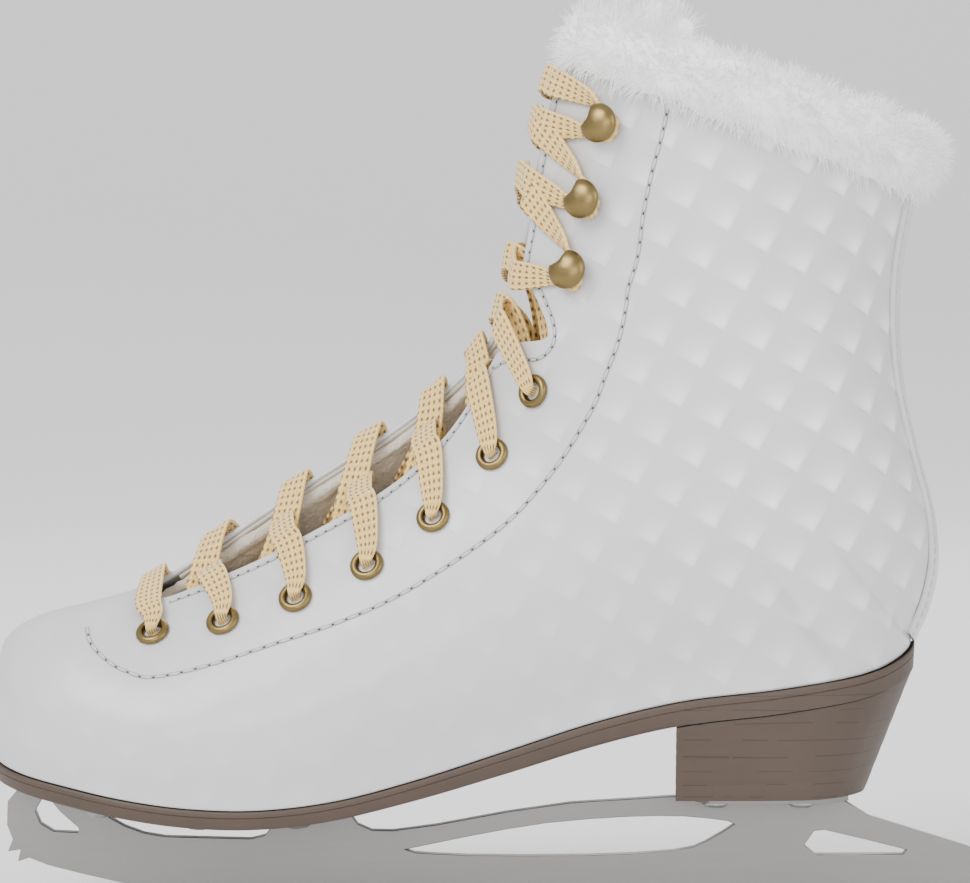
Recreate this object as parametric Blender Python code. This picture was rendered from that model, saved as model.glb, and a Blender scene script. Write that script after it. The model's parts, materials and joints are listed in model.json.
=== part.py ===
"""A left figure skate: a laced boot with a fur collar, a brown sole and heel, and a stamped steel blade.

Frame: +X runs from the toe to the heel, +Y to the medial side, +Z up. The origin is the point of the
blade that stands on the ice. Sizes are in millimetres and become metres when a mesh is made.
"""

import functools
import math

import bmesh
import bpy
from mathutils import Matrix, Vector

MM = 0.001
GAP = 0.3  # between pieces that touch
LATERAL, MEDIAL = -1, 1

# Boot sizes
BOOT_LENGTH = 262.0  # toe to the back of the heel
BALL_WIDTH = 91.0
BOOT_HEIGHT = 194.0  # feather line at the ball to the front of the collar
BLADE_HEIGHT = 26.6  # ice to the underside of the sole plate at the ball

# Layers of the boot, from outside in
UPPER = 1.6
STIFFENER = 1.2
LINING = 3.2
BACKSTAY = 1.0
TONGUE_COVER = 1.2
TONGUE_PILE = 3.0
TONGUE_HALF = 35.0
TONGUE_BOW = 1.4  # how round the tongue lies: 1 is a ridge, 2 an arch
TUFT = 30.0  # height of the tongue's fur
TONGUE_HINGE = (-101.0, 0.0, 78.0)  # where the tongue is sewn down; it hinges there across the boot

# Sole and heel
SOLE = 5.2
WAIST_SOLE = 6.6
WELT = 1.2
SOLE_DRAFT = 0.8  # how far the sole's side leans in
INSOLE_BOARD = 2.4
FOOTBED = 4.0
SHANK = 2.0
SHANK_HALF = 9.0
HEEL_BREAST = 48.0  # x of the heel's front face
HEEL_BASE = 34.4  # z of the heel's underside
HEEL_TOP_PIECE = 5.0
HEEL_BREAST_CURVE = 4.0  # how hollow the heel's front face is
HEEL_TAPER = 13.0  # how far the heel's rear face leans in by its foot

# Blade
RUNNER = 4.0
PLATE = 1.8
ROCKER = 2000.0
SPIN_ROCKER = 330.0
SPIN_START = -45.0
CONTACT_HALF = 5.0
SOLE_PLATE_HALF = 24.0
HEEL_PLATE_HALF = 19.0
SCREW_SHANK = 1.9
SCREW_HEAD = 3.8
SCREW_LENGTH = 9.0

# Lacing
EYELET_FLANGE = 4.75
EYELET_BORE = 2.6
EYELET_WALL = 0.5
HOLE_CLEARANCE = 0.45
HOOK_CAP = 5.4
HOOK_NECK = 1.9
LACE_WIDTH = 8.0
LACE_THICK = 1.3

# Stations of the last. Each is a plane across the boot from a point on the feather line, or on the
# back of the heel, to the crest of the instep. In order: base x, z, crest x, z, half-widths on the
# feather line, widest half-widths (lateral, medial), height of the widest place as a share, crest shift.
STATIONS = [
    (-141.2, 44.0, -141.0, 65.0, 0.0, 0.0, 0.0, 0.0, 0.34, 0.0),
    (-140.6, 43.8, -140.2, 72.6, 7.0, 7.0, 8.0, 8.0, 0.34, 0.2),
    (-138.6, 43.2, -138.0, 77.4, 14.2, 14.2, 15.6, 15.6, 0.34, 0.5),
    (-134.8, 42.3, -133.6, 80.9, 21.2, 21.2, 23.0, 23.0, 0.34, 1.0),
    (-128.6, 41.0, -126.4, 83.9, 27.8, 28.0, 30.0, 30.0, 0.34, 1.6),
    (-118.6, 39.2, -114.4, 86.8, 33.6, 34.2, 36.2, 36.6, 0.34, 2.6),
    (-104.0, 36.6, -97.5, 92.4, 39.0, 39.4, 41.8, 41.6, 0.32, 4.0),
    (-86.0, 34.5, -77.0, 106.6, 42.6, 42.4, 45.2, 44.8, 0.28, 6.0),
    (-66.0, 34.0, -53.5, 122.4, 43.0, 42.0, 45.6, 44.6, 0.26, 7.0),
    (-45.0, 36.2, -29.5, 137.6, 40.6, 38.4, 43.6, 42.0, 0.28, 7.0),
    (-23.0, 41.5, -12.0, 151.8, 37.0, 33.6, 40.6, 39.0, 0.30, 6.0),
    (1.0, 48.9, -4.2, 162.8, 34.0, 30.4, 38.4, 37.0, 0.32, 5.0),
    (26.0, 56.8, -1.0, 172.0, 32.0, 29.6, 37.4, 36.6, 0.34, 4.0),
    (50.0, 62.4, 1.2, 180.5, 31.2, 30.0, 37.4, 37.0, 0.36, 3.0),
    (75.0, 65.4, 3.0, 188.5, 31.0, 30.6, 37.6, 37.6, 0.37, 2.4),
    (94.0, 68.4, 4.2, 195.5, 29.6, 29.4, 37.8, 37.8, 0.38, 2.0),
    (103.0, 70.4, 4.8, 199.0, 25.6, 25.6, 37.8, 37.8, 0.38, 1.8),
    (108.8, 72.4, 5.3, 202.0, 19.4, 19.4, 37.8, 37.8, 0.38, 1.6),
    (112.6, 74.2, 5.7, 204.5, 12.8, 12.8, 37.8, 37.8, 0.38, 1.5),
    (114.6, 75.6, 6.1, 206.5, 6.2, 6.2, 37.8, 37.8, 0.38, 1.4),
    (115.4, 76.8, 6.4, 208.0, 0.0, 0.0, 37.8, 37.8, 0.38, 1.3),
    (119.4, 86.0, 7.0, 211.0, 0.0, 0.0, 37.6, 37.6, 0.39, 1.2),
    (121.6, 97.5, 7.8, 214.0, 0.0, 0.0, 37.4, 37.4, 0.40, 1.1),
    (120.6, 111.0, 8.7, 217.5, 0.0, 0.0, 37.0, 37.0, 0.41, 1.0),
    (116.4, 127.0, 9.6, 221.0, 0.0, 0.0, 36.4, 36.4, 0.42, 0.8),
    (112.4, 144.0, 10.6, 224.5, 0.0, 0.0, 35.6, 35.6, 0.44, 0.6),
    (110.6, 161.0, 11.6, 228.0, 0.0, 0.0, 35.0, 35.0, 0.46, 0.4),
    (110.9, 178.0, 12.9, 231.5, 0.0, 0.0, 34.8, 34.8, 0.47, 0.2),
    (113.2, 192.5, 14.3, 235.0, 0.0, 0.0, 35.2, 35.2, 0.48, 0.0),
    (115.8, 204.0, 15.8, 238.5, 0.0, 0.0, 36.0, 36.0, 0.48, 0.0),
    (118.4, 213.5, 18.0, 247.0, 0.0, 0.0, 37.0, 37.0, 0.48, 0.0),
    (119.8, 222.0, 20.6, 256.0, 0.0, 0.0, 37.6, 37.6, 0.48, 0.0),
]
TABLE_LENGTH, TABLE_WIDTH, TABLE_HEIGHT = 262.0, 91.0, 194.0
TABLE_GROUND, TABLE_BLADE = 34.0, 26.6
HEEL_ROUND = 31.0  # half-width of the heel seat where its back starts to round

THROAT_BASE = 5.95  # station of the front end of the throat
BACK_START = 20  # first station whose base is on the back centre line
COLLAR = 28.9  # station of the fur's lower edge
UPPER_TOP = 29.6
FUR_TOP = 30.6
SIDE_SPLIT = 0.42  # share of a section's parameter below its widest place
ROUND = 0.55  # handle length that makes a quarter turn round

# Station of each eyelet and hook, and how far it is from the facing's edge
EYELETS = ((6.2, 15.0), (7.2, 18.0), (8.1, 21.2), (8.95, 23.5), (9.85, 25.0), (11.05, 27.5), (12.45, 25.5))
HOOKS = ((16.05, 22.8), (22.35, 23.0), (26.5, 22.4))

# How far the round bay at the ankle cuts into the facing, by station
BAY = ((11.4, 0.0), (12.1, 5.5), (12.7, 13.0), (13.1, 18.0), (13.35, 20.5), (13.5, 20.5), (13.62, 17.0), (13.76, 2.0))
BAY += ((13.82, 0.0),)


def to_length(x):
    return x * BOOT_LENGTH / TABLE_LENGTH


def to_height(z):
    """Height above the ice of a height in the station table."""
    above = (z - TABLE_GROUND) * BOOT_HEIGHT / TABLE_HEIGHT
    return TABLE_GROUND + above + BLADE_HEIGHT - TABLE_BLADE


def smooth(keys, s):
    """A smooth curve through keys, which stand at whole values of s."""
    last = len(keys) - 1
    i = min(max(int(math.floor(s)), 0), last - 1)
    f = s - i
    a, b, c, d = keys[max(i - 1, 0)], keys[i], keys[i + 1], keys[min(i + 2, last)]
    cubic = -a + 3 * b - 3 * c + d
    square = 2 * a - 5 * b + 4 * c - d
    return 0.5 * (2 * b + (c - a) * f + square * f * f + cubic * f ** 3)


def ramp(a, b, x):
    """0 before a, 1 after b, smooth between."""
    f = min(max((x - a) / (b - a), 0.0), 1.0)
    return f * f * (3 - 2 * f)


@functools.lru_cache(maxsize=None)
def station(s):
    columns = [smooth(column, s) for column in zip(*STATIONS)]
    base = (to_length(columns[0]), to_height(columns[1]))
    crest = (to_length(columns[2]), to_height(columns[3]))
    wide = BALL_WIDTH / TABLE_WIDTH
    seats = [max(columns[4], 0.0) * wide, max(columns[5], 0.0) * wide]
    if s >= BACK_START:
        seats = [0.0, 0.0]
    sides = [max(columns[6], 0.0) * wide, max(columns[7], 0.0) * wide]
    return base, crest, seats, sides, columns[8], columns[9] * wide


def instep(s):
    """1 where the boot is the foot's instep, which is peaked, and 0 on the toe and the shaft."""
    return ramp(4.5, 7.0, s) * (1 - ramp(11.0, 14.5, s))


def crest_handle(s):
    return ROUND - 0.33 * instep(s)


def side_handle(s):
    return ROUND - 0.22 * instep(s)


def section(s, side, t):
    """A point of the boot's outer surface. t is 0 on the feather line or the back and 1 on the crest."""
    base, crest, seats, sides, share, shift = station(s)
    seat, wide = (seats[0], sides[0]) if side == LATERAL else (seats[1], sides[1])
    span = math.hypot(crest[0] - base[0], crest[1] - base[1])
    middle = share * span
    top = side * shift
    if t < SIDE_SPLIT:
        f = t / SIDE_SPLIT
        turn = 1.0 if s < 15 else min(seat / (HEEL_ROUND * BALL_WIDTH / TABLE_WIDTH), 1.0)
        outward = math.sqrt(1 - turn * turn)
        reach = ROUND * (outward * (wide - seat) + turn * middle * 0.5)
        points = (
            (seat, 0.0),
            (seat + outward * reach, turn * reach),
            (wide, middle * (1 - ROUND)),
            (wide, middle),
        )
    else:
        f = (t - SIDE_SPLIT) / (1 - SIDE_SPLIT)
        points = (
            (wide, middle),
            (wide, middle + side_handle(s) * (span - middle)),
            (top + crest_handle(s) * (wide - top), span),
            (top, span),
        )
    g = 1 - f
    weights = (g ** 3, 3 * g * g * f, 3 * g * f * f, f ** 3)
    u = sum(w * p[0] for w, p in zip(weights, points))
    v = sum(w * p[1] for w, p in zip(weights, points))
    x = base[0] + (crest[0] - base[0]) * v / span
    z = base[1] + (crest[1] - base[1]) * v / span
    return Vector((x, side * u, z))


@functools.lru_cache(maxsize=None)
def normal(s, side, t):
    """The outward direction of the boot's surface."""
    step = 0.01
    along = section(min(s + step, len(STATIONS) - 1), side, t) - section(max(s - step, 0.0), side, t)
    up = section(s, side, min(t + step, 1.0)) - section(s, side, max(t - step, 0.0))
    out = (along.cross(up) if side == LATERAL else up.cross(along)).normalized()
    return out


@functools.lru_cache(maxsize=None)
def arcs(s, side):
    """Lengths along a section from its crest, with the parameters that they belong to."""
    steps = 48
    table = [(0.0, 1.0)]
    last = section(s, side, 1.0)
    for i in range(1, steps + 1):
        t = 1.0 - i / steps
        point = section(s, side, t)
        table.append((table[-1][0] + (point - last).length, t))
        last = point
    return table


def from_crest(s, side, distance):
    """The parameter of the place that lies this far down a section from its crest."""
    table = arcs(s, side)
    if distance <= 0.0:
        return 1.0
    for (a, ta), (b, tb) in zip(table, table[1:]):
        if distance <= b:
            return ta + (tb - ta) * (distance - a) / (b - a)
    return 0.0


def skin(s, side, t, height=0.0):
    """The point this far above the boot's outer surface; inside it where height is negative."""
    out = normal(s, side, t)
    if t >= 1.0 or s <= 0.0 or (t <= 0.0 and s >= BACK_START):
        out = (out + normal(s, -side, t)).normalized()
    return section(s, side, t) + out * height


def over(s, q, height=0.0):
    """The point at arc distance q from the crest, lateral where q is negative."""
    side = LATERAL if q < 0 else MEDIAL
    return skin(s, side, from_crest(s, side, abs(q)), height)


def through(points, x):
    """A smooth curve through (x, value) points at any spacing."""
    if x <= points[0][0]:
        return points[0][1]
    if x >= points[-1][0]:
        return points[-1][1]
    i = next(i for i in range(len(points) - 1) if x < points[i + 1][0])

    def slope(j):
        a, b = points[max(j - 1, 0)], points[min(j + 1, len(points) - 1)]
        return (b[1] - a[1]) / (b[0] - a[0])

    (x0, y0), (x1, y1) = points[i], points[i + 1]
    width = x1 - x0
    f = (x - x0) / width
    rise = f * f * (3 - 2 * f)
    return (
        y0 + (y1 - y0) * rise + width * (slope(i) * f * (1 - f) ** 2 - slope(i + 1) * f * f * (1 - f))
    )


# Arc distance from the crest to each facing's edge, by station
THROAT_LATERAL = [(5.95, 0.0), (6.04, 11.0), (6.2, 17.5), (6.6, 21.5), (7.1, 25.5), (7.8, 29.2), (9.0, 30.0)]
THROAT_LATERAL += [(9.75, 26.5), (10.4, 21.0), (11.2, 17.0), (13.6, 17.0), (16.0, 15.2), (25.0, 11.6), (31.0, 11.6)]
THROAT_MEDIAL = [(5.95, 0.0), (6.04, 3.4), (6.2, 4.6), (7.1, 5.0), (9.8, 4.8), (11.2, 7.5), (13.6, 12.5)]
THROAT_MEDIAL += [(16.0, 13.0), (25.0, 11.4), (31.0, 11.4)]


def throat(s, side):
    """Arc distance from the crest to the facing's edge."""
    return through(THROAT_LATERAL if side == LATERAL else THROAT_MEDIAL, s)


def front_edge(s, side):
    """Arc distance from the crest to the boot's front edge, which the bay takes further back."""
    return throat(s, side) + max(through(BAY, s), 0.0)


# ------------------------------------------------------------------------------------------------
# Mesh makers


def material(name, colour, roughness, metallic=0.0):
    made = bpy.data.materials.new(name)
    made.use_nodes = True
    shader = made.node_tree.nodes["Principled BSDF"]
    shader.inputs["Base Color"].default_value = (*colour, 1.0)
    shader.inputs["Roughness"].default_value = roughness
    shader.inputs["Metallic"].default_value = metallic
    made.diffuse_color = (*colour, 1.0)
    return made


def add_object(name, bm, finish, sharp=35.0):
    """Make an object in metres of a mesh in millimetres, with its faces pointing out."""
    bmesh.ops.remove_doubles(bm, verts=bm.verts, dist=1e-4)
    bmesh.ops.scale(bm, vec=(MM, MM, MM), verts=bm.verts)
    bmesh.ops.recalc_face_normals(bm, faces=bm.faces)
    mesh = bpy.data.meshes.new(name)
    bm.to_mesh(mesh)
    bm.free()
    mesh.materials.append(material(name, *finish))
    mesh.shade_smooth()
    mesh.set_sharp_from_angle(angle=math.radians(sharp))
    made = bpy.data.objects.new(name, mesh)
    bpy.context.scene.collection.objects.link(made)
    return made


class Sheet:
    """Triangles with a thickness: each corner is a pair of points, and the open edges are closed."""

    def __init__(self):
        self.pairs = []
        self.found = {}
        self.faces = []

    def corner(self, outer, inner):
        key = tuple(round(c, 3) for c in outer)
        if key not in self.found:
            self.found[key] = len(self.pairs)
            self.pairs.append((Vector(outer), Vector(inner)))
        return self.found[key]

    def grid(self, rows):
        """Rows of (outer, inner) pairs, all of one length."""
        indices = [[self.corner(*pair) for pair in row] for row in rows]
        for low, high in zip(indices, indices[1:]):
            for i in range(len(low) - 1):
                for loop in ((low[i], low[i + 1], high[i]), (low[i + 1], high[i + 1], high[i])):
                    if len(set(loop)) == 3:
                        self.faces.append(list(loop))

    def build(self):
        bm = bmesh.new()
        outer = [bm.verts.new(a) for a, _ in self.pairs]
        inner = [bm.verts.new(b) for _, b in self.pairs]
        edges = {}
        for loop in self.faces:
            bm.faces.new([outer[i] for i in loop])
            bm.faces.new([inner[i] for i in reversed(loop)])
            for a, b in zip(loop, loop[1:] + loop[:1]):
                key = (min(a, b), max(a, b))
                edges[key] = edges.get(key, 0) + 1
        for (a, b), uses in edges.items():
            if uses == 1:
                bm.faces.new((outer[a], outer[b], inner[b], inner[a]))
        return bm


def spread(a, b, count):
    return [a + (b - a) * i / count for i in range(count + 1)]


def shell(name, finish, stations, shares, top, bottom, sides=(LATERAL, MEDIAL)):
    """A layer of the boot between two heights. shares run from the feather line, 0, to the throat, 1."""
    sheet = Sheet()
    for side in sides:
        rows = []
        for s in stations:
            row = []
            for share in shares:
                t = share * throat_parameter(s, side)
                row.append((skin(s, side, t, top), skin(s, side, t, bottom)))
            rows.append(row)
        sheet.grid(rows)
    return add_object(name, sheet.build(), finish)


def cut(target, cutter):
    """Take the cutter's volume out of the target."""
    change = target.modifiers.new("cut", "BOOLEAN")
    change.operation = "DIFFERENCE"
    change.solver = "EXACT"
    change.object = cutter


def guide(name, bm):
    """A cutter: an object that isn't a piece of the skate."""
    bmesh.ops.scale(bm, vec=(MM, MM, MM), verts=bm.verts)
    bmesh.ops.recalc_face_normals(bm, faces=bm.faces)
    mesh = bpy.data.meshes.new(name)
    bm.to_mesh(mesh)
    bm.free()
    made = bpy.data.objects.new(name, mesh)
    made.hide_render = True
    made.display_type = "WIRE"
    bpy.context.scene.collection.objects.link(made)
    return made


def facing_frame(point, out, toward):
    """A frame with z along out and x as near toward as it can be."""
    z = out.normalized()
    x = (toward - z * toward.dot(z)).normalized()
    y = z.cross(x)
    return Matrix.Translation(point) @ Matrix((x, y, z)).transposed().to_4x4()


def rod(bm, frame, radius, low, high, sides=12):
    """Add a closed cylinder along the frame's z."""
    rings = []
    for z in (low, high):
        ring = []
        for i in range(sides):
            angle = 2 * math.pi * i / sides
            ring.append(bm.verts.new(frame @ Vector((radius * math.cos(angle), radius * math.sin(angle), z))))
        rings.append(ring)
    bm.faces.new(reversed(rings[0]))
    bm.faces.new(rings[1])
    for i in range(sides):
        j = (i + 1) % sides
        bm.faces.new((rings[0][i], rings[0][j], rings[1][j], rings[1][i]))


def turned(profile, frame, sides=16, radius_at=None):
    """A turned piece of (radius, height) points. A profile that starts and ends on the axis is capped."""
    bm = bmesh.new()
    rings = []
    for level, (radius, height) in enumerate(profile):
        if radius == 0.0:
            rings.append([bm.verts.new(frame @ Vector((0, 0, height)))])
            continue
        ring = []
        for i in range(sides):
            angle = 2 * math.pi * i / sides
            r = radius if radius_at is None else radius_at(level, angle, radius)
            ring.append(bm.verts.new(frame @ Vector((r * math.cos(angle), r * math.sin(angle), height))))
        rings.append(ring)
    pairs = list(zip(rings, rings[1:]))
    if len(rings[0]) > 1:
        pairs.append((rings[-1], rings[0]))
    for a, b in pairs:
        for i in range(sides):
            j = (i + 1) % sides
            if len(a) == 1:
                bm.faces.new((a[0], b[j], b[i]))
            elif len(b) == 1:
                bm.faces.new((a[i], a[j], b[0]))
            else:
                bm.faces.new((a[i], a[j], b[j], b[i]))
    return bm


# ------------------------------------------------------------------------------------------------
# Boot


WHITE = ((0.80, 0.81, 0.83), 0.38)
STIFF = ((0.75, 0.70, 0.60), 0.8)
FLEECE = ((0.62, 0.57, 0.49), 0.95)
FUR = ((0.93, 0.93, 0.92), 0.95)
SATIN = ((0.80, 0.74, 0.64), 0.6)
BROWN = ((0.165, 0.11, 0.075), 0.6)
BOARD = ((0.45, 0.36, 0.25), 0.9)
STEEL = ((0.42, 0.43, 0.44), 0.42, 1.0)
GOLD = ((0.55, 0.44, 0.22), 0.36, 1.0)
LACE = ((0.90, 0.78, 0.50), 0.85)

# Every layer is divided along the same lines, so that facets lie parallel
FOOT_ROWS = [0.0, 1.0, 2.0, 3.0, 4.3, THROAT_BASE]
THROAT_ROWS = [6.04, 6.25, 6.6, 7.3, 8.2, 9.2, 10.3, 11.4, 12.1, 12.7, 13.1, 13.35, 13.5, 13.62, 13.76, 14.0]
ANKLE_ROWS = [15.0, 16.5, 18.0, 19.2, 20.0, 21.3, 22.8, 24.8, 26.8, COLLAR]
WHOLE = [0.0, 0.1, 0.22, 0.36, 0.5, 0.65, 0.8, 0.9, 1.0]
COUNTER_SHARES = [0.0, 0.1, 0.22, 0.355]
PAD_SHARES = [0.365, 0.5, 0.65, 0.795]
FACING_SHARES = [0.805, 0.9, 1.0]
FACING_ROWS = THROAT_ROWS[1:] + ANKLE_ROWS[:-1]


def throat_parameter(s, side):
    return from_crest(s, side, front_edge(s, side))


def make_upper():
    rows = FOOT_ROWS + THROAT_ROWS + ANKLE_ROWS + [UPPER_TOP]
    return shell("upper", WHITE, rows, WHOLE, 0.0, -UPPER)


def make_lining():
    top = -UPPER - STIFFENER - 2 * GAP
    rows = FOOT_ROWS + THROAT_ROWS + ANKLE_ROWS + [UPPER_TOP]
    return shell("lining", FLEECE, rows, WHOLE, top, top - LINING)


def make_stiffeners():
    """The hard and soft layers between the upper and its lining."""
    top = -UPPER - GAP
    bottom = top - STIFFENER
    shell("toe_puff", STIFF, FOOT_ROWS[:-1], WHOLE, top, bottom)
    heel_rows = THROAT_ROWS[-6:] + ANKLE_ROWS[:7]
    shell("heel_counter", STIFF, heel_rows, COUNTER_SHARES, top, bottom)
    facings = []
    for side, word in ((LATERAL, "lateral"), (MEDIAL, "medial")):
        facings.append(shell("facing_" + word, STIFF, FACING_ROWS, FACING_SHARES, top, bottom, (side,)))
        pad_rows = [14.0] + ANKLE_ROWS[:-2]
        shell("ankle_pad_" + word, FLEECE, pad_rows, PAD_SHARES, top, bottom, (side,))
    return facings


def make_backstay():
    rows = ANKLE_ROWS[4:-1] + [COLLAR - GAP / 8]
    return shell("backstay", WHITE, rows, [0.0, 0.1], GAP + BACKSTAY, GAP)


def make_collar_fur():
    """A fat band of fur round the top of the boot, which wraps over the upper's edge."""
    inside = -UPPER - STIFFENER - 2 * GAP - LINING - GAP
    profile = []
    for s, height in ((COLLAR, 2.4), (29.4, 4.8), (29.9, 5.4), (30.35, 4.0), (FUR_TOP, 0.0)):
        profile.append((s, height))
    for s, height in ((30.6, -4.5), (30.3, -9.0), (29.9, -11.0), (29.4, -10.6), (COLLAR, inside - 0.6)):
        profile.append((s, height))
    for s, height in ((COLLAR, inside), (UPPER_TOP + 0.08, inside), (UPPER_TOP + 0.08, GAP), (COLLAR, GAP)):
        profile.append((s, height))
    bm = bmesh.new()
    stops = []
    for side in (LATERAL, MEDIAL):
        ts = WHOLE[:-1] + [0.98]
        if side == LATERAL:
            ts = list(reversed(ts))[:-1]
        for t in ts:
            stops.append((side, t))
    rings = []
    for side, t in stops:
        ring = []
        for s, height in profile:
            high = throat_parameter(min(s, UPPER_TOP), side)
            ring.append(bm.verts.new(skin(s, side, t * high, height)))
        rings.append(ring)
    for a, b in zip(rings, rings[1:]):
        for i in range(len(profile)):
            j = (i + 1) % len(profile)
            bm.faces.new((a[i], a[j], b[j], b[i]))
    bm.faces.new(rings[0])
    bm.faces.new(reversed(rings[-1]))
    return add_object("collar_fur", bm, FUR, 60.0)


TONGUE_ROWS = [6.3, 6.7, 7.3, 8.2, 9.2, 10.3, 11.5, 12.6, 13.6, 15.0, 16.5, 18.0, 20.0, 22.8, 24.8, 26.8, 28.4]
TONGUE_SHARES = [-1.0, -0.75, -0.5, -0.3, -0.1, 0.1, 0.3, 0.5, 0.75, 1.0]


def tongue_depth(s, q):
    """How far the tongue lies under the boot's outer surface."""
    under = UPPER + STIFFENER + LINING + 2 * GAP + LACE_THICK + 3.8
    slack = 4.5 * ramp(6.4, 7.6, s) * (1 - ramp(10.8, 13.5, s))
    low = under + slack + 2.0 * ramp(24.0, 27.5, s)
    gap = 3.6 + (low - 3.6) * (1 - ramp(13.8, 16.8, s))
    middle, half = throat_middle(s)
    return gap + (low - gap) * ramp(0.1, 0.85, abs(q - middle) / half)


def throat_middle(s):
    """The middle of the throat, and half its width."""
    lateral, medial = throat(s, LATERAL), throat(s, MEDIAL)
    return (medial - lateral) / 2, max((medial + lateral) / 2, 1.0)


def tongue_half(s):
    widening = 0.42 + 0.58 * ramp(6.2, 9.0, s)
    return TONGUE_HALF * widening - 5.0 * ramp(10.0, 14.0, s) + 6.0 * ramp(24.0, 28.0, s)


def tongue_place(s, share):
    return throat_middle(s)[0] + share * tongue_half(s)


def tongue_point(s, f, height):
    """A point over the tongue's face, which bows across the instep between its two long edges."""
    q = tongue_place(s, f)
    along = over(s, q, -tongue_depth(s, q) + height)
    bowed = 1 - ramp(13.0, 16.0, s)
    if bowed == 0.0:
        return along
    ends = [tongue_place(s, end) for end in (-1.0, 1.0)]
    middle = tongue_place(s, 0.0)
    feet = [over(s, q, -tongue_depth(s, q)) for q in ends]
    crown = over(s, middle, -tongue_depth(s, middle))
    half = (feet[1] - feet[0]) / 2
    drop = (feet[0] + feet[1]) / 2 - crown
    end = ends[0] if f < 0 else ends[1]
    out = over(s, middle, 1.0) - over(s, middle, 0.0)
    out = out.lerp(over(s, end, 1.0) - over(s, end, 0.0), abs(f)).normalized()
    bow = crown + half * f + drop * abs(f) ** TONGUE_BOW + out * height
    return along.lerp(bow, bowed)


def tongue_layer(name, finish, top, thickness):
    sheet = Sheet()
    rows = []
    for s in TONGUE_ROWS:
        row = []
        for f in TONGUE_SHARES:
            row.append((tongue_point(s, f, -top), tongue_point(s, f, -top - thickness)))
        rows.append(row)
    sheet.grid(rows)
    return add_object(name, sheet.build(), finish)


def hinge_on(made, pivot):
    """Put the object's origin on its joint's axis, with the object left where it is."""
    made.data.transform(Matrix.Translation(-pivot))
    made.location = pivot


def make_tongue():
    pieces = [tongue_layer("tongue_cover", SATIN, 0.0, TONGUE_COVER)]
    pieces.append(tongue_layer("tongue_lining", FLEECE, TONGUE_COVER + GAP, TONGUE_PILE))
    last = TONGUE_ROWS[-1]
    crest = over(last, 0.0)
    up = (crest - over(last - 0.6, 0.0)).normalized()
    out = normal(last, LATERAL, 1.0)
    profile = ((1.2, 0.5), (3.4, 2.6), (16.0, 3.6), (TUFT, 1.0), (TUFT + 1.5, -4.0), (TUFT - 1.0, -8.0))
    profile += ((9.0, -8.4), (3.0, -7.0))
    bm = bmesh.new()
    rings = []
    for f in TONGUE_SHARES:
        foot = tongue_point(last, f, 0.0)
        proud = 1 - ramp(0.2, 0.5, abs(f))
        ring = []
        for rise, height in profile:
            away = height * proud if height > 0 else height * (0.6 + 0.4 * proud)
            ring.append(bm.verts.new(foot + up * (rise * (1 - 0.16 * f * f)) + out * away))
        rings.append(ring)
    for a, b in zip(rings, rings[1:]):
        for i in range(len(profile)):
            j = (i + 1) % len(profile)
            bm.faces.new((a[i], a[j], b[j], b[i]))
    bm.faces.new(rings[0])
    bm.faces.new(reversed(rings[-1]))
    pieces.append(add_object("tongue_fur", bm, FUR, 60.0))
    for piece in pieces:
        hinge_on(piece, Vector(TONGUE_HINGE) * MM)


# ------------------------------------------------------------------------------------------------
# Sole, heel and what lies between them and the foot


def outline(s, side, grow):
    """The feather line in plan, moved outward by grow, with the height of the feather line."""
    step = 0.02
    a = section(max(s - step, 0.0), side, 0.0)
    b = section(min(s + step, float(BACK_START)), side, 0.0)
    here = section(min(s, float(BACK_START)), side, 0.0)
    if s <= 0.0:
        out = Vector((-1.0, 0.0, 0.0))
    elif s >= BACK_START:
        out = Vector((1.0, 0.0, 0.0))
    else:
        out = Vector((-(b - a).y, (b - a).x, 0.0)).normalized()
        if out.y * side < 0:
            out = -out
    return here + out * grow


def slab(name, finish, stations, grow, top, bottom, shrink=0.0, columns=4):
    """A flat-lying piece inside an outline. top and bottom give heights over the feather line."""
    sheet = Sheet()
    rows = []
    for s in stations:
        lateral, medial = outline(s, LATERAL, grow), outline(s, MEDIAL, grow)
        foot = outline(s, LATERAL, grow - shrink), outline(s, MEDIAL, grow - shrink)
        row = []
        for f in spread(0.0, 1.0, columns):
            high = lateral.lerp(medial, f)
            low = foot[0].lerp(foot[1], f)
            row.append((high + Vector((0, 0, top(s))), low + Vector((0, 0, bottom(s)))))
        rows.append(row)
    sheet.grid(rows)
    return add_object(name, sheet.build(), finish)


SOLE_ROWS = FOOT_ROWS + [6.6, 7.3, 8.2, 9.2, 10.3, 11.5, 12.6, 13.3, 14.0] + ANKLE_ROWS[:5]


def sole_depth(s):
    return SOLE + (WAIST_SOLE - SOLE) * ramp(9.0, 12.0, s)


def sole_under(x):
    """Height of the sole's underside on the centre line."""
    low, high = 0.0, float(BACK_START)
    for _ in range(40):
        s = 0.5 * (low + high)
        if station(s)[0][0] < x:
            low = s
        else:
            high = s
    return station(low)[0][1] - GAP - sole_depth(low)


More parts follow.
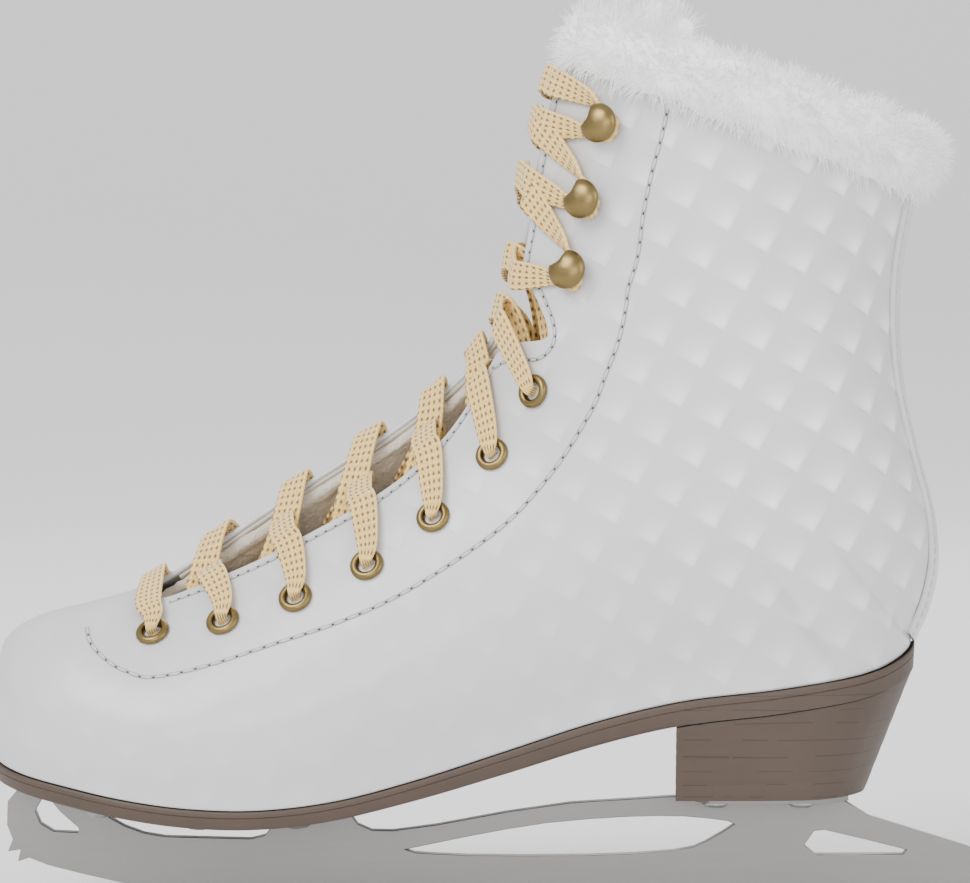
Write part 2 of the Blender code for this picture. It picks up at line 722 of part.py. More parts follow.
def make_sole():
    sole = slab("outsole", BROWN, SOLE_ROWS, WELT, lambda s: -GAP, lambda s: -GAP - sole_depth(s), SOLE_DRAFT)
    low = GAP + SHANK + GAP
    inside = -(UPPER + STIFFENER + LINING + 3 * GAP) - 0.8
    board_rows = SOLE_ROWS
    slab("insole_board", BOARD, board_rows, inside, lambda s: low + INSOLE_BOARD, lambda s: low)
    bed = low + INSOLE_BOARD + GAP
    slab("footbed", FLEECE, board_rows, inside - 1.0, lambda s: bed + FOOTBED, lambda s: bed)
    filler_rows = SOLE_ROWS[3:9] + [9.0]
    slab("bottom_filler", BOARD, filler_rows, inside - 1.0, lambda s: GAP + SHANK, lambda s: GAP)
    sheet = Sheet()
    rows = []
    for s in SOLE_ROWS[9:16]:
        base = station(s)[0]
        row = []
        for y in (-SHANK_HALF, 0.0, SHANK_HALF):
            row.append((Vector((base[0], y, base[1] + GAP + SHANK)), Vector((base[0], y, base[1] + GAP))))
        rows.append(row)
    sheet.grid(rows)
    add_object("shank", sheet.build(), STEEL)
    return sole


def heel_point(s, side, level):
    """A point of the heel's outline. level is 0 on the sole and 1 on the heel's underside."""
    top = outline(s, side, WELT - SOLE_DRAFT)
    base_z = HEEL_BASE + BLADE_HEIGHT - TABLE_BLADE
    breast = to_length(HEEL_BREAST)
    rear = outline(float(BACK_START), side, 0.0).x
    back = ramp(breast, rear, top.x)
    x = max(top.x, breast) - HEEL_TAPER * back * level
    y = top.y * (1 - 0.12 * level)
    top_z = station(min(s, float(BACK_START)))[0][1] - GAP - sole_depth(s) - 2 * GAP
    z = top_z + (base_z - top_z) * level
    return Vector((x, y, z))


def heel_slice(name, stations, high, low):
    sheet = Sheet()
    rows = []
    for s in stations:
        row = []
        for f in spread(0.0, 1.0, 4):
            hollow = Vector((HEEL_BREAST_CURVE * 4 * f * (1 - f) if s == stations[0] else 0.0, 0.0, 0.0))
            a = heel_point(s, LATERAL, high).lerp(heel_point(s, MEDIAL, high), f) + hollow
            b = heel_point(s, LATERAL, low).lerp(heel_point(s, MEDIAL, low), f) + hollow
            row.append((a, b))
        rows.append(row)
    sheet.grid(rows)
    return add_object(name, sheet.build(), BROWN)


def heel_first():
    """Station of the heel's breast."""
    low, high = 10.0, 15.0
    for _ in range(40):
        s = 0.5 * (low + high)
        if station(s)[0][0] < to_length(HEEL_BREAST):
            low = s
        else:
            high = s
    return low


def make_heel():
    rows = [heel_first()] + SOLE_ROWS[-6:]
    height = 0.5 * (sole_under(60.0) + sole_under(100.0)) - HEEL_BASE
    seam = 1 - HEEL_TOP_PIECE / height
    block = heel_slice("heel_block", rows, 0.0, seam - GAP / height)
    lift = heel_slice("heel_top_piece", rows, seam, 1.0)
    return block, lift


# ------------------------------------------------------------------------------------------------
# Blade


def rocker(x):
    """Height of the runner's edge over the ice."""
    if abs(x) <= CONTACT_HALF:
        return 0.0
    if x > SPIN_START:
        return (x * x - CONTACT_HALF ** 2) / (2 * ROCKER)
    start = (SPIN_START ** 2 - CONTACT_HALF ** 2) / (2 * ROCKER)
    ahead = SPIN_START - x
    return start + ahead * -SPIN_START / ROCKER + ahead * ahead / (2 * SPIN_ROCKER)


def sole_plate_under(x):
    return sole_under(x) - GAP - PLATE


def heel_plate_under():
    return HEEL_BASE + BLADE_HEIGHT - TABLE_BLADE - GAP - PLATE


def to_blade(z):
    """A height in the drawn blade, at this blade's height."""
    return z * BLADE_HEIGHT / TABLE_BLADE


def arch(points, steps=5):
    """A smooth run through a few corners."""
    xs, zs = [p[0] for p in points], [p[1] for p in points]
    out = []
    for i in range((len(points) - 1) * steps + 1):
        out.append((smooth(xs, i / steps), smooth(zs, i / steps)))
    return out


PLATE_FRONT, PLATE_REAR = -131.0, -43.0
HEEL_PLATE_FRONT, HEEL_PLATE_REAR = 50.0, 97.0
TAIL = 142.0


def runner_outline():
    """The runner from its toe picks along the ice to its tail, and back along its top."""
    picks = [(-138.6, 24.0), (-137.0, 19.8), (-138.4, 16.4), (-134.8, 17.0), (-135.6, 13.6)]
    picks = [(x, to_blade(z)) for x, z in picks]
    edge = [(-132.4, rocker(-132.4) + 0.6)]
    stops = [-127.0, -118.0, -108.0, -98.0, -88.0, -78.0, -66.0, -54.0, -40.0, -26.0, -14.0, -CONTACT_HALF]
    stops += [CONTACT_HALF, 18.0, 36.0, 56.0, 76.0, 96.0, 114.0, 130.0]
    edge += [(x, rocker(x)) for x in stops]
    tail = [(TAIL - 3.5, rocker(TAIL) + 1.6), (TAIL, rocker(TAIL) + 6.0), (TAIL - 2.0, rocker(TAIL) + 9.6)]
    rise = heel_plate_under() - GAP
    back = [(x, to_blade(z)) for x, z in ((131.0, 18.0), (117.0, 22.4), (104.0, 26.4))]
    beam = [(36.0, 31.2), (20.0, 30.2), (2.0, 27.6), (-18.0, 23.9), (-30.0, 22.3), (-36.0, 22.4), (-40.0, 24.2)]
    beam = [(HEEL_PLATE_REAR - 2.0, rise), (HEEL_PLATE_FRONT - 2.0, rise)] + [(x, to_blade(z)) for x, z in beam]
    front = []
    for x in [PLATE_REAR] + spread(PLATE_REAR - 4.0, PLATE_FRONT, 8):
        front.append((x, sole_plate_under(to_length(x)) - GAP))
    nose = [(-135.6, to_blade(34.0)), (-138.4, to_blade(30.6))]
    points = picks + edge + tail + back + beam + front + nose
    return [(to_length(x), z) for x, z in points]


def runner_openings():
    """The four windows of the runner."""
    main = arch([(-26.6, 17.0), (-9.0, 20.6), (13.0, 24.4), (36.0, 26.2), (52.0, 26.3), (64.0, 25.0)], 2)
    main += arch([(66.0, 24.2), (58.0, 19.2), (49.0, 16.6), (24.0, 15.3), (-9.0, 15.3), (-24.0, 16.1)], 2)
    rear = [(85.6, 18.2), (88.4, 22.2), (91.2, 22.5), (102.0, 20.0), (114.4, 16.9), (113.6, 15.7), (88.8, 15.6)]
    nose = [(-130.6, 28.0), (-128.8, 31.2), (-126.4, 31.0), (-123.6, 27.6), (-118.4, 23.0), (-118.6, 21.8)]
    nose += [(-125.5, 22.1), (-129.2, 24.4)]
    slot = [(-110.0, 26.2), (-105.5, 23.6), (-100.0, 21.6), (-94.0, 20.6), (-70.0, 20.0), (-66.0, 21.0)]
    slot += [(-64.0, 23.6), (-66.0, 25.2), (-80.0, 25.4), (-98.0, 26.4), (-108.0, 27.6)]
    return [[(to_length(x), to_blade(z)) for x, z in hole] for hole in (main, rear, nose, slot)]


def make_runner():
    bm = bmesh.new()
    for loop in [runner_outline()] + runner_openings():
        ring = [bm.verts.new((x, -RUNNER / 2, z)) for x, z in loop]
        for a, b in zip(ring, ring[1:] + ring[:1]):
            bm.edges.new((a, b))
    bmesh.ops.triangle_fill(bm, use_beauty=True, use_dissolve=False, edges=bm.edges[:], normal=(0, -1, 0))
    made = bmesh.ops.extrude_face_region(bm, geom=bm.faces[:])
    moved = [item for item in made["geom"] if isinstance(item, bmesh.types.BMVert)]
    bmesh.ops.translate(bm, verts=moved, vec=(0, RUNNER, 0))
    return add_object("blade_runner", bm, STEEL)


def plate_rows(front, rear, half, top, count=8):
    """Pairs of points for a plate whose ends are rounded in plan."""
    rows = []
    front, rear = to_length(front), to_length(rear)
    for f in spread(0.0, 1.0, count):
        x = front + (rear - front) * f
        inset = 1 - 0.55 * (1 - ramp(0.0, 0.18, f)) - 0.35 * ramp(0.8, 1.0, f)
        row = []
        for g in spread(-1.0, 1.0, 4):
            z = top(x)
            row.append((Vector((x, g * half * inset, z)), Vector((x, g * half * inset, z - PLATE))))
        rows.append(row)
    return rows


def make_plates():
    sheet = Sheet()
    sheet.grid(plate_rows(PLATE_FRONT, PLATE_REAR, SOLE_PLATE_HALF, lambda x: sole_under(x) - GAP, 10))
    sole_plate = add_object("sole_plate", sheet.build(), STEEL)
    sheet = Sheet()
    flat = heel_plate_under() + PLATE
    sheet.grid(plate_rows(HEEL_PLATE_FRONT, HEEL_PLATE_REAR, HEEL_PLATE_HALF, lambda x: flat, 6))
    heel_plate = add_object("heel_plate", sheet.build(), STEEL)
    return sole_plate, heel_plate


def screw_places():
    """Each screw's name and the place on its plate's underside."""
    places = []
    for row, x in enumerate((-112.0, -84.0, -56.0)):
        for side, word in ((LATERAL, "lateral"), (MEDIAL, "medial")):
            z = sole_plate_under(to_length(x))
            places.append(("sole_screw_%s_%d" % (word, row + 1), Vector((to_length(x), side * 15.0, z))))
    for row, x in enumerate((60.0, 84.0)):
        for side, word in ((LATERAL, "lateral"), (MEDIAL, "medial")):
            place = Vector((to_length(x), side * 11.0, heel_plate_under()))
            places.append(("heel_screw_%s_%d" % (word, row + 1), place))
    return places


def make_screws(drilled):
    holes = bmesh.new()
    for name, place in screw_places():
        ahead = 3.0
        plate = sole_plate_under if place.x < 0 else lambda x: heel_plate_under()
        slope = (plate(place.x + ahead) - plate(place.x - ahead)) / (2 * ahead)
        frame = facing_frame(place, Vector((-slope, 0.0, 1.0)), Vector((1.0, 0.0, 0.0)))
        head = -GAP - 1.6
        profile = [(0.0, head), (SCREW_HEAD * 0.7, head), (SCREW_HEAD, head + 0.9), (SCREW_HEAD, -GAP)]
        profile += [(SCREW_SHANK, -GAP), (SCREW_SHANK, SCREW_LENGTH - 3.0), (0.5, SCREW_LENGTH - 1.0)]
        profile += [(0.0, SCREW_LENGTH - 1.0)]
        long = SCREW_LENGTH if place.x > 0 else PLATE + SOLE + 0.6
        fit = long / SCREW_LENGTH
        profile = [(r, z * fit if z > 0 else z) for r, z in profile]
        add_object(name, turned(profile, frame, 8), STEEL)
        rod(holes, frame, SCREW_SHANK + HOLE_CLEARANCE, -1.0, long + 0.6, 10)
    cutter = guide("screw_holes", holes)
    for target in drilled:
        cut(target, cutter)


# ------------------------------------------------------------------------------------------------
# Lacing


def lace_place(s, side, inset):
    """A place in the facing, with the directions out of the boot and toward the throat."""
    q = side * (throat(s, side) + inset)
    point = over(s, q, 0.0)
    out = normal(s, side, from_crest(s, side, abs(q)))
    toward = over(s, side * (abs(q) - 4.0), 0.0) - point
    return point, out, toward


def make_eyelets(layers):
    holes = bmesh.new()
    through = UPPER + STIFFENER + LINING + 2 * GAP
    wall = EYELET_BORE + EYELET_WALL
    for side, word in ((LATERAL, "lateral"), (MEDIAL, "medial")):
        for i, (s, inset) in enumerate(EYELETS):
            point, out, toward = lace_place(s, side, inset)
            frame = facing_frame(point, out, toward)
            low = -through - 2 * GAP
            seat = 0.65
            profile = [(EYELET_BORE, low - 0.8), (wall + 0.9, low - 0.8), (wall, low - 0.2)]
            profile += [(wall, seat), (EYELET_FLANGE, seat), (EYELET_FLANGE - 0.8, seat + 0.9)]
            profile += [(EYELET_BORE, seat + 0.5)]
            add_object("eyelet_%s_%d" % (word, i + 1), turned(profile, frame, 9), GOLD)
            rod(holes, frame, wall + HOLE_CLEARANCE, -through - 4.0, 4.0, 8)
        for s, inset in HOOKS:
            point, out, toward = lace_place(s, side, inset)
            frame = facing_frame(point, out, toward)
            rod(holes, frame, HOOK_NECK + HOLE_CLEARANCE, -through - 4.0, 4.0, 8)
    cutter = guide("lacing_holes", holes)
    for layer in layers:
        cut(layer, cutter)


def make_hooks():
    through = UPPER + STIFFENER + LINING + 2 * GAP
    bite = 4.4  # radius of the crescent cut out of the cap on its lace side
    away = 7.4  # from the rivet to the crescent's centre

    def radius_at(level, angle, radius):
        if level < 7:
            return radius
        reach = away * math.cos(angle)
        room = bite * bite - (away * math.sin(angle)) ** 2
        if reach > 0 and room > 0:
            return min(radius, reach - math.sqrt(room))
        return radius

    for side, word in ((LATERAL, "lateral"), (MEDIAL, "medial")):
        for i, (s, inset) in enumerate(HOOKS):
            point, out, toward = lace_place(s, side, inset)
            frame = facing_frame(point, out, toward)
            low = -through - 2 * GAP
            profile = [(0.0, low - 0.9), (3.2, low - 0.9), (HOOK_NECK, low - 0.2)]
            profile += [(HOOK_NECK, 0.5), (3.4, 0.5), (HOOK_NECK, 1.4), (HOOK_NECK, 3.6)]
            profile += [(HOOK_CAP, 4.6), (HOOK_CAP * 0.78, 6.6), (0.0, 7.4)]
            add_object("hook_%s_%d" % (word, i + 1), turned(profile, frame, 12, radius_at), GOLD)


def millimetres(s, q, distance):
    """The station this far up the boot from a place on it."""
    step = 0.02
    return s + distance * 2 * step / (over(s + step, q) - over(s - step, q)).length


class Ribbon:
    """A flat lace along waypoints on the boot, each with its own width and turn on edge."""

    def __init__(self):
        self.stops = []

    def go(self, s, q, height, width=LACE_WIDTH, on_edge=0.0, thick=LACE_THICK):
        step = 0.02
        up = (over(s + step, q) - over(s - step, q)).normalized()
        side = LATERAL if q < 0 else MEDIAL
        out = normal(s, side, from_crest(s, side, abs(q)))
        across = (up * (1 - on_edge) + out * on_edge).normalized()
        self.stops.append((over(s, q, height), across, width, thick))

    def build(self):
        bm = bmesh.new()
        rings = []
        for i, (point, across, width, thick) in enumerate(self.stops):
            before = self.stops[max(i - 1, 0)][0]
            after = self.stops[min(i + 1, len(self.stops) - 1)][0]
            run = (after - before).normalized()
            wide = (across - run * across.dot(run)).normalized() * width / 2
            flat = run.cross(wide).normalized() * thick / 2
            corners = (wide + flat, flat - wide, -wide - flat, wide - flat)
            rings.append([bm.verts.new(point + corner) for corner in corners])
        for a, b in zip(rings, rings[1:]):
            for i in range(4):
                j = (i + 1) % 4
                bm.faces.new((a[i], a[j], b[j], b[i]))
        bm.faces.new(rings[0])
        bm.faces.new(reversed(rings[-1]))
        return bm


UNDER_FACING = -(UPPER + STIFFENER + LINING + 2 * GAP + LACE_THICK / 2 + 2.2)
OVER_FACING = 1.9
OVER_FLANGE = 2.8


def eyelet_arc(row, side):
    s, inset = EYELETS[row]
    return s, side * (throat(s, side) + inset)


def hook_arc(row, side):
    s, inset = HOOKS[row]
    return s, side * (throat(s, side) + inset)


def through_eyelet(ribbon, row, side):
    """From outside the boot to the space under the facing."""
    s, q = eyelet_arc(row, side)
    ribbon.go(s, q - side * 5.6, OVER_FLANGE, 6.0)
    ribbon.go(s, q - side * 0.5, OVER_FLANGE - 0.3, 3.4, 0.0, 1.4)
    ribbon.go(s, q, 0.6, 3.0, 0.0, 1.4)
    ribbon.go(s, q, UNDER_FACING + 2.6, 3.0, 0.0, 1.4)
    ribbon.go(s, q - side * 0.7, UNDER_FACING + 0.4, 3.4, 0.0, 1.4)
    ribbon.go(s, q - side * 4.6, UNDER_FACING - 0.3, 5.0)


def cross_throat(ribbon, start, finish, side, level):
    """Out from under one facing, across the tongue and over the other facing's edge."""
    def at(f):
        return start + (finish - start) * f

    def edge(f, which):
        return throat(at(f), which)

    deeper = 2.6 * instep(start) * (1 - 0.6 * ramp(9.0, 11.0, start)) if side == MEDIAL else 0.0  # the layers turn in under the crest
    ribbon.go(at(0.18), side * (edge(0.18, side) + 2.0), UNDER_FACING - 0.3 - 0.6 * deeper, 7.0)
    ribbon.go(at(0.32), side * (edge(0.32, side) - 4.0), UNDER_FACING + 1.6 - deeper)
    ribbon.go(at(0.52), throat_middle(at(0.52))[0], -3.0 + level)
    ribbon.go(at(0.7), -side * (edge(0.7, -side) - 3.5), 1.4 + 0.4 * level)
    ribbon.go(at(0.82), -side * (edge(0.82, -side) + 1.5), OVER_FACING + 0.6)


def round_hook(ribbon, row, side):
    """Along the lower side of the hook's neck, round it and out along its upper side."""
    s, q = hook_arc(row, side)
    around = HOOK_NECK + GAP + 1.8
    height, low = 2.5, 1.5
    ribbon.go(millimetres(s, q, -5.2), q - side * 6.5, OVER_FACING, 5.0, 0.35)
    ribbon.go(millimetres(s, q, -around), q - side * 1.2, height, low, 1.0, 1.2)
    ribbon.go(millimetres(s, q, -around * 0.7), q + side * around, height, low, 1.0, 1.2)
    ribbon.go(millimetres(s, q, around * 0.7), q + side * around, height, low, 1.0, 1.2)
    ribbon.go(millimetres(s, q, around), q - side * 1.2, height, low, 1.0, 1.2)
    ribbon.go(millimetres(s, q, 5.2), q - side * 6.5, OVER_FACING, 5.0, 0.35)


def lace_half(ribbon, side, level):
    """From the eyelet at the toe on one side up to the lace's end, which is tucked in beside the tongue."""
    for row in range(len(EYELETS)):
        through_eyelet(ribbon, row, side)
        start = EYELETS[row][0]
        if row + 1 < len(EYELETS):
            cross_throat(ribbon, start, EYELETS[row + 1][0], side, level)
        else:
            first_hook(ribbon, start, side, level)
        side = -side
    for row in range(len(HOOKS)):
        round_hook(ribbon, row, side)
        start = millimetres(HOOKS[row][0], 0.0, 6.0 if row + 1 < len(HOOKS) else 3.0)
        if row + 1 < len(HOOKS):
            finish = millimetres(HOOKS[row + 1][0], 0.0, -7.0)
            over_tongue(ribbon, start, finish, side, level)
        else:
            tuck_in(ribbon, start, side, level)
        side = -side


def first_hook(ribbon, start, side, level):
    finish = millimetres(HOOKS[0][0], 0.0, -7.0)
    ribbon.go(start + 0.5, side * (throat(start, side) + 4.0), UNDER_FACING + 0.6, 7.0)
    ribbon.go(start + 1.0, side * (throat(start, side) - 4.0), UNDER_FACING + 3.4)
    ribbon.go(0.5 * (start + finish) + 0.3, throat_middle(start)[0], -0.7 + level)
    ribbon.go(finish - 0.5, -side * (throat(finish, -side) - 3.0), 1.6 + 0.3 * level)
    ribbon.go(finish - 0.2, -side * (throat(finish, -side) + 3.0), OVER_FACING + 0.4)


def over_tongue(ribbon, start, finish, side, level):
    span = finish - start
    ribbon.go(start + 0.15 * span, side * (throat(start, side) + 2.0), OVER_FACING + 1.0)
    ribbon.go(start + 0.3 * span, side * (throat(start, side) - 4.0), 1.2 + 0.5 * level)
    ribbon.go(start + 0.5 * span, throat_middle(start)[0], 0.1 + level)
    ribbon.go(start + 0.7 * span, -side * (throat(finish, -side) - 4.0), 1.2 + 0.5 * level)
    ribbon.go(start + 0.85 * span, -side * (throat(finish, -side) + 2.0), OVER_FACING + 1.0)


def tuck_in(ribbon, start, side, level):
    ribbon.go(start + 0.05, side * (throat(start, side) + 2.0), OVER_FACING + 1.0)
    ribbon.go(start + 0.1, side * (throat(start, side) - 4.0), 1.2 + 0.5 * level)
    ribbon.go(start + 0.15, throat_middle(start)[0], 0.1 + level)
    ribbon.go(start + 0.1, -side * (throat(start, -side) - 3.5), -3.6 + 0.5 * level, 7.0)
    ribbon.go(start - 0.2, -side * (throat(start, -side) + 1.5), UNDER_FACING - 0.9, 6.0)
    ribbon.go(start - 1.2, -side * (throat(start, -side) + 6.0), UNDER_FACING - 1.3, 6.0)
    ribbon.go(start - 2.8, -side * (throat(start, -side) + 8.0), UNDER_FACING - 0.9, 6.0)


def make_lace():
    ribbon = Ribbon()
    level = LACE_THICK / 2 + 0.45
    lace_half(ribbon, LATERAL, level)
    ribbon.stops.reverse()
    base, inset = EYELETS[0]
    bar = THROAT_BASE + 0.12
    ribbon.go(bar, LATERAL * throat(base, LATERAL) * 1.15, OVER_FACING + 0.4, 7.5)
    ribbon.go(bar, 0.0, OVER_FACING + 0.7, 7.5)
    ribbon.go(bar, MEDIAL * (throat(base, MEDIAL) + 4.0), OVER_FACING + 0.4, 7.5)
    lace_half(ribbon, MEDIAL, -level)
    add_object("lace", ribbon.build(), LACE, 60.0)


def main():
    for old in list(bpy.data.objects):
        bpy.data.objects.remove(old)
    upper = make_upper()
    lining = make_lining()
    facings = make_stiffeners()
    make_backstay()
    make_collar_fur()
    make_tongue()
    sole = make_sole()
    block, lift = make_heel()
    make_runner()
    sole_plate, heel_plate = make_plates()
    make_screws([sole_plate, heel_plate, sole, block, lift])
    layers = [upper, lining] + facings
    make_eyelets(layers)
    make_hooks()
    make_lace()


main()
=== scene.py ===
"""The look of a left figure skate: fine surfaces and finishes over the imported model.

Sizes are in millimetres until a mesh is made. +X runs from the toe to the heel, +Y to the medial side.
"""

import functools
import json
import math

import bmesh
import bpy
import numpy as np
from mathutils import Matrix, Vector

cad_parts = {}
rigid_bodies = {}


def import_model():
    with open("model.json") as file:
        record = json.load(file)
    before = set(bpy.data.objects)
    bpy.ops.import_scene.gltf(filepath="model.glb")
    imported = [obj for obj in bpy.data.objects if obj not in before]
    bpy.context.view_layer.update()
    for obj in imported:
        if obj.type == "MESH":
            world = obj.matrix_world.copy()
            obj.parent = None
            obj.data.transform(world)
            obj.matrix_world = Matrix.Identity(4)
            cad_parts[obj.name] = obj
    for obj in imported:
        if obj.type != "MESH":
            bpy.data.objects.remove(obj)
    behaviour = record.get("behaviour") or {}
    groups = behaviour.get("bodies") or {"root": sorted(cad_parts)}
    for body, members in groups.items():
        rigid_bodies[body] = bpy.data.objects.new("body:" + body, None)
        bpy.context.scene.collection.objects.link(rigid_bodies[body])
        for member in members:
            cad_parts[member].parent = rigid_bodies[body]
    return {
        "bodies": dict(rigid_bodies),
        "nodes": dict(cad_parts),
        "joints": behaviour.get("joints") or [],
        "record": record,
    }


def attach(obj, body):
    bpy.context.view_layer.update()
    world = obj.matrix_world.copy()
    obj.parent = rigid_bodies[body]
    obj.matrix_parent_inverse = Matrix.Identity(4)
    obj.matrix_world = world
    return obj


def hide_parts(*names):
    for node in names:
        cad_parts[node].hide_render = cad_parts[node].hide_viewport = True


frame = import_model()

MM = 0.001
GAP = 0.3  # between pieces that touch
LATERAL, MEDIAL = -1, 1

# Boot sizes
BOOT_LENGTH = 262.0  # toe to the back of the heel
BALL_WIDTH = 91.0
BOOT_HEIGHT = 194.0  # feather line at the ball to the front of the collar
BLADE_HEIGHT = 26.6  # ice to the underside of the sole plate at the ball

# Layers of the boot, from outside in
UPPER = 1.6
STIFFENER = 1.2
LINING = 3.2
BACKSTAY = 1.0
TONGUE_COVER = 1.2
TONGUE_PILE = 3.0
TONGUE_HALF = 35.0
TONGUE_BOW = 1.4  # how round the tongue lies: 1 is a ridge, 2 an arch
TUFT = 30.0  # height of the tongue's fur

# Sole and heel
SOLE = 5.2
WAIST_SOLE = 6.6
WELT = 1.2
SOLE_DRAFT = 0.8  # how far the sole's side leans in
HEEL_BREAST = 48.0  # x of the heel's front face
HEEL_BASE = 34.4  # z of the heel's underside
HEEL_TOP_PIECE = 5.0
HEEL_BREAST_CURVE = 4.0  # how hollow the heel's front face is
HEEL_TAPER = 13.0  # how far the heel's rear face leans in by its foot

# Lacing
EYELET_BORE = 2.6
EYELET_WALL = 0.5
HOOK_NECK = 1.9
LACE_WIDTH = 8.0
LACE_THICK = 1.3

# Stations of the last. Each is a plane across the boot from a point on the feather line, or on the
# back of the heel, to the crest of the instep. In order: base x, z, crest x, z, half-widths on the
# feather line, widest half-widths (lateral, medial), height of the widest place as a share, crest shift.
STATIONS = [
    (-141.2, 44.0, -141.0, 65.0, 0.0, 0.0, 0.0, 0.0, 0.34, 0.0),
    (-140.6, 43.8, -140.2, 72.6, 7.0, 7.0, 8.0, 8.0, 0.34, 0.2),
    (-138.6, 43.2, -138.0, 77.4, 14.2, 14.2, 15.6, 15.6, 0.34, 0.5),
    (-134.8, 42.3, -133.6, 80.9, 21.2, 21.2, 23.0, 23.0, 0.34, 1.0),
    (-128.6, 41.0, -126.4, 83.9, 27.8, 28.0, 30.0, 30.0, 0.34, 1.6),
    (-118.6, 39.2, -114.4, 86.8, 33.6, 34.2, 36.2, 36.6, 0.34, 2.6),
    (-104.0, 36.6, -97.5, 92.4, 39.0, 39.4, 41.8, 41.6, 0.32, 4.0),
    (-86.0, 34.5, -77.0, 106.6, 42.6, 42.4, 45.2, 44.8, 0.28, 6.0),
    (-66.0, 34.0, -53.5, 122.4, 43.0, 42.0, 45.6, 44.6, 0.26, 7.0),
    (-45.0, 36.2, -29.5, 137.6, 40.6, 38.4, 43.6, 42.0, 0.28, 7.0),
    (-23.0, 41.5, -12.0, 151.8, 37.0, 33.6, 40.6, 39.0, 0.30, 6.0),
    (1.0, 48.9, -4.2, 162.8, 34.0, 30.4, 38.4, 37.0, 0.32, 5.0),
    (26.0, 56.8, -1.0, 172.0, 32.0, 29.6, 37.4, 36.6, 0.34, 4.0),
    (50.0, 62.4, 1.2, 180.5, 31.2, 30.0, 37.4, 37.0, 0.36, 3.0),
    (75.0, 65.4, 3.0, 188.5, 31.0, 30.6, 37.6, 37.6, 0.37, 2.4),
    (94.0, 68.4, 4.2, 195.5, 29.6, 29.4, 37.8, 37.8, 0.38, 2.0),
    (103.0, 70.4, 4.8, 199.0, 25.6, 25.6, 37.8, 37.8, 0.38, 1.8),
    (108.8, 72.4, 5.3, 202.0, 19.4, 19.4, 37.8, 37.8, 0.38, 1.6),
    (112.6, 74.2, 5.7, 204.5, 12.8, 12.8, 37.8, 37.8, 0.38, 1.5),
    (114.6, 75.6, 6.1, 206.5, 6.2, 6.2, 37.8, 37.8, 0.38, 1.4),
    (115.4, 76.8, 6.4, 208.0, 0.0, 0.0, 37.8, 37.8, 0.38, 1.3),
    (119.4, 86.0, 7.0, 211.0, 0.0, 0.0, 37.6, 37.6, 0.39, 1.2),
    (121.6, 97.5, 7.8, 214.0, 0.0, 0.0, 37.4, 37.4, 0.40, 1.1),
    (120.6, 111.0, 8.7, 217.5, 0.0, 0.0, 37.0, 37.0, 0.41, 1.0),
    (116.4, 127.0, 9.6, 221.0, 0.0, 0.0, 36.4, 36.4, 0.42, 0.8),
    (112.4, 144.0, 10.6, 224.5, 0.0, 0.0, 35.6, 35.6, 0.44, 0.6),
    (110.6, 161.0, 11.6, 228.0, 0.0, 0.0, 35.0, 35.0, 0.46, 0.4),
    (110.9, 178.0, 12.9, 231.5, 0.0, 0.0, 34.8, 34.8, 0.47, 0.2),
    (113.2, 192.5, 14.3, 235.0, 0.0, 0.0, 35.2, 35.2, 0.48, 0.0),
    (115.8, 204.0, 15.8, 238.5, 0.0, 0.0, 36.0, 36.0, 0.48, 0.0),
    (118.4, 213.5, 18.0, 247.0, 0.0, 0.0, 37.0, 37.0, 0.48, 0.0),
    (119.8, 222.0, 20.6, 256.0, 0.0, 0.0, 37.6, 37.6, 0.48, 0.0),
]
TABLE_LENGTH, TABLE_WIDTH, TABLE_HEIGHT = 262.0, 91.0, 194.0
TABLE_GROUND, TABLE_BLADE = 34.0, 26.6
HEEL_ROUND = 31.0  # half-width of the heel seat where its back starts to round

THROAT_BASE = 5.95  # station of the front end of the throat
BACK_START = 20  # first station whose base is on the back centre line
COLLAR = 28.9  # station of the fur's lower edge
UPPER_TOP = 29.6
SIDE_SPLIT = 0.42  # share of a section's parameter below its widest place
ROUND = 0.55  # handle length that makes a quarter turn round

# Station of each eyelet and hook, and how far it is from the facing's edge
EYELETS = ((6.2, 15.0), (7.2, 18.0), (8.1, 21.2), (8.95, 23.5), (9.85, 25.0), (11.05, 27.5), (12.45, 25.5))
HOOKS = ((16.05, 22.8), (22.35, 23.0), (26.5, 22.4))

# How far the round bay at the ankle cuts into the facing, by station
BAY = ((11.4, 0.0), (12.1, 5.5), (12.7, 13.0), (13.1, 18.0), (13.35, 20.5), (13.5, 20.5))
BAY += ((13.62, 17.0), (13.76, 2.0), (13.82, 0.0))


def to_length(x):
    return x * BOOT_LENGTH / TABLE_LENGTH


def to_height(z):
    """Height above the ice of a height in the station table."""
    above = (z - TABLE_GROUND) * BOOT_HEIGHT / TABLE_HEIGHT
    return TABLE_GROUND + above + BLADE_HEIGHT - TABLE_BLADE


def smooth(keys, s):
    """A smooth curve through keys, which stand at whole values of s."""
    last = len(keys) - 1
    i = min(max(int(math.floor(s)), 0), last - 1)
    f = s - i
    a, b, c, d = keys[max(i - 1, 0)], keys[i], keys[i + 1], keys[min(i + 2, last)]
    cubic = -a + 3 * b - 3 * c + d
    square = 2 * a - 5 * b + 4 * c - d
    return 0.5 * (2 * b + (c - a) * f + square * f * f + cubic * f ** 3)


def ramp(a, b, x):
    """0 before a, 1 after b, smooth between."""
    f = min(max((x - a) / (b - a), 0.0), 1.0)
    return f * f * (3 - 2 * f)


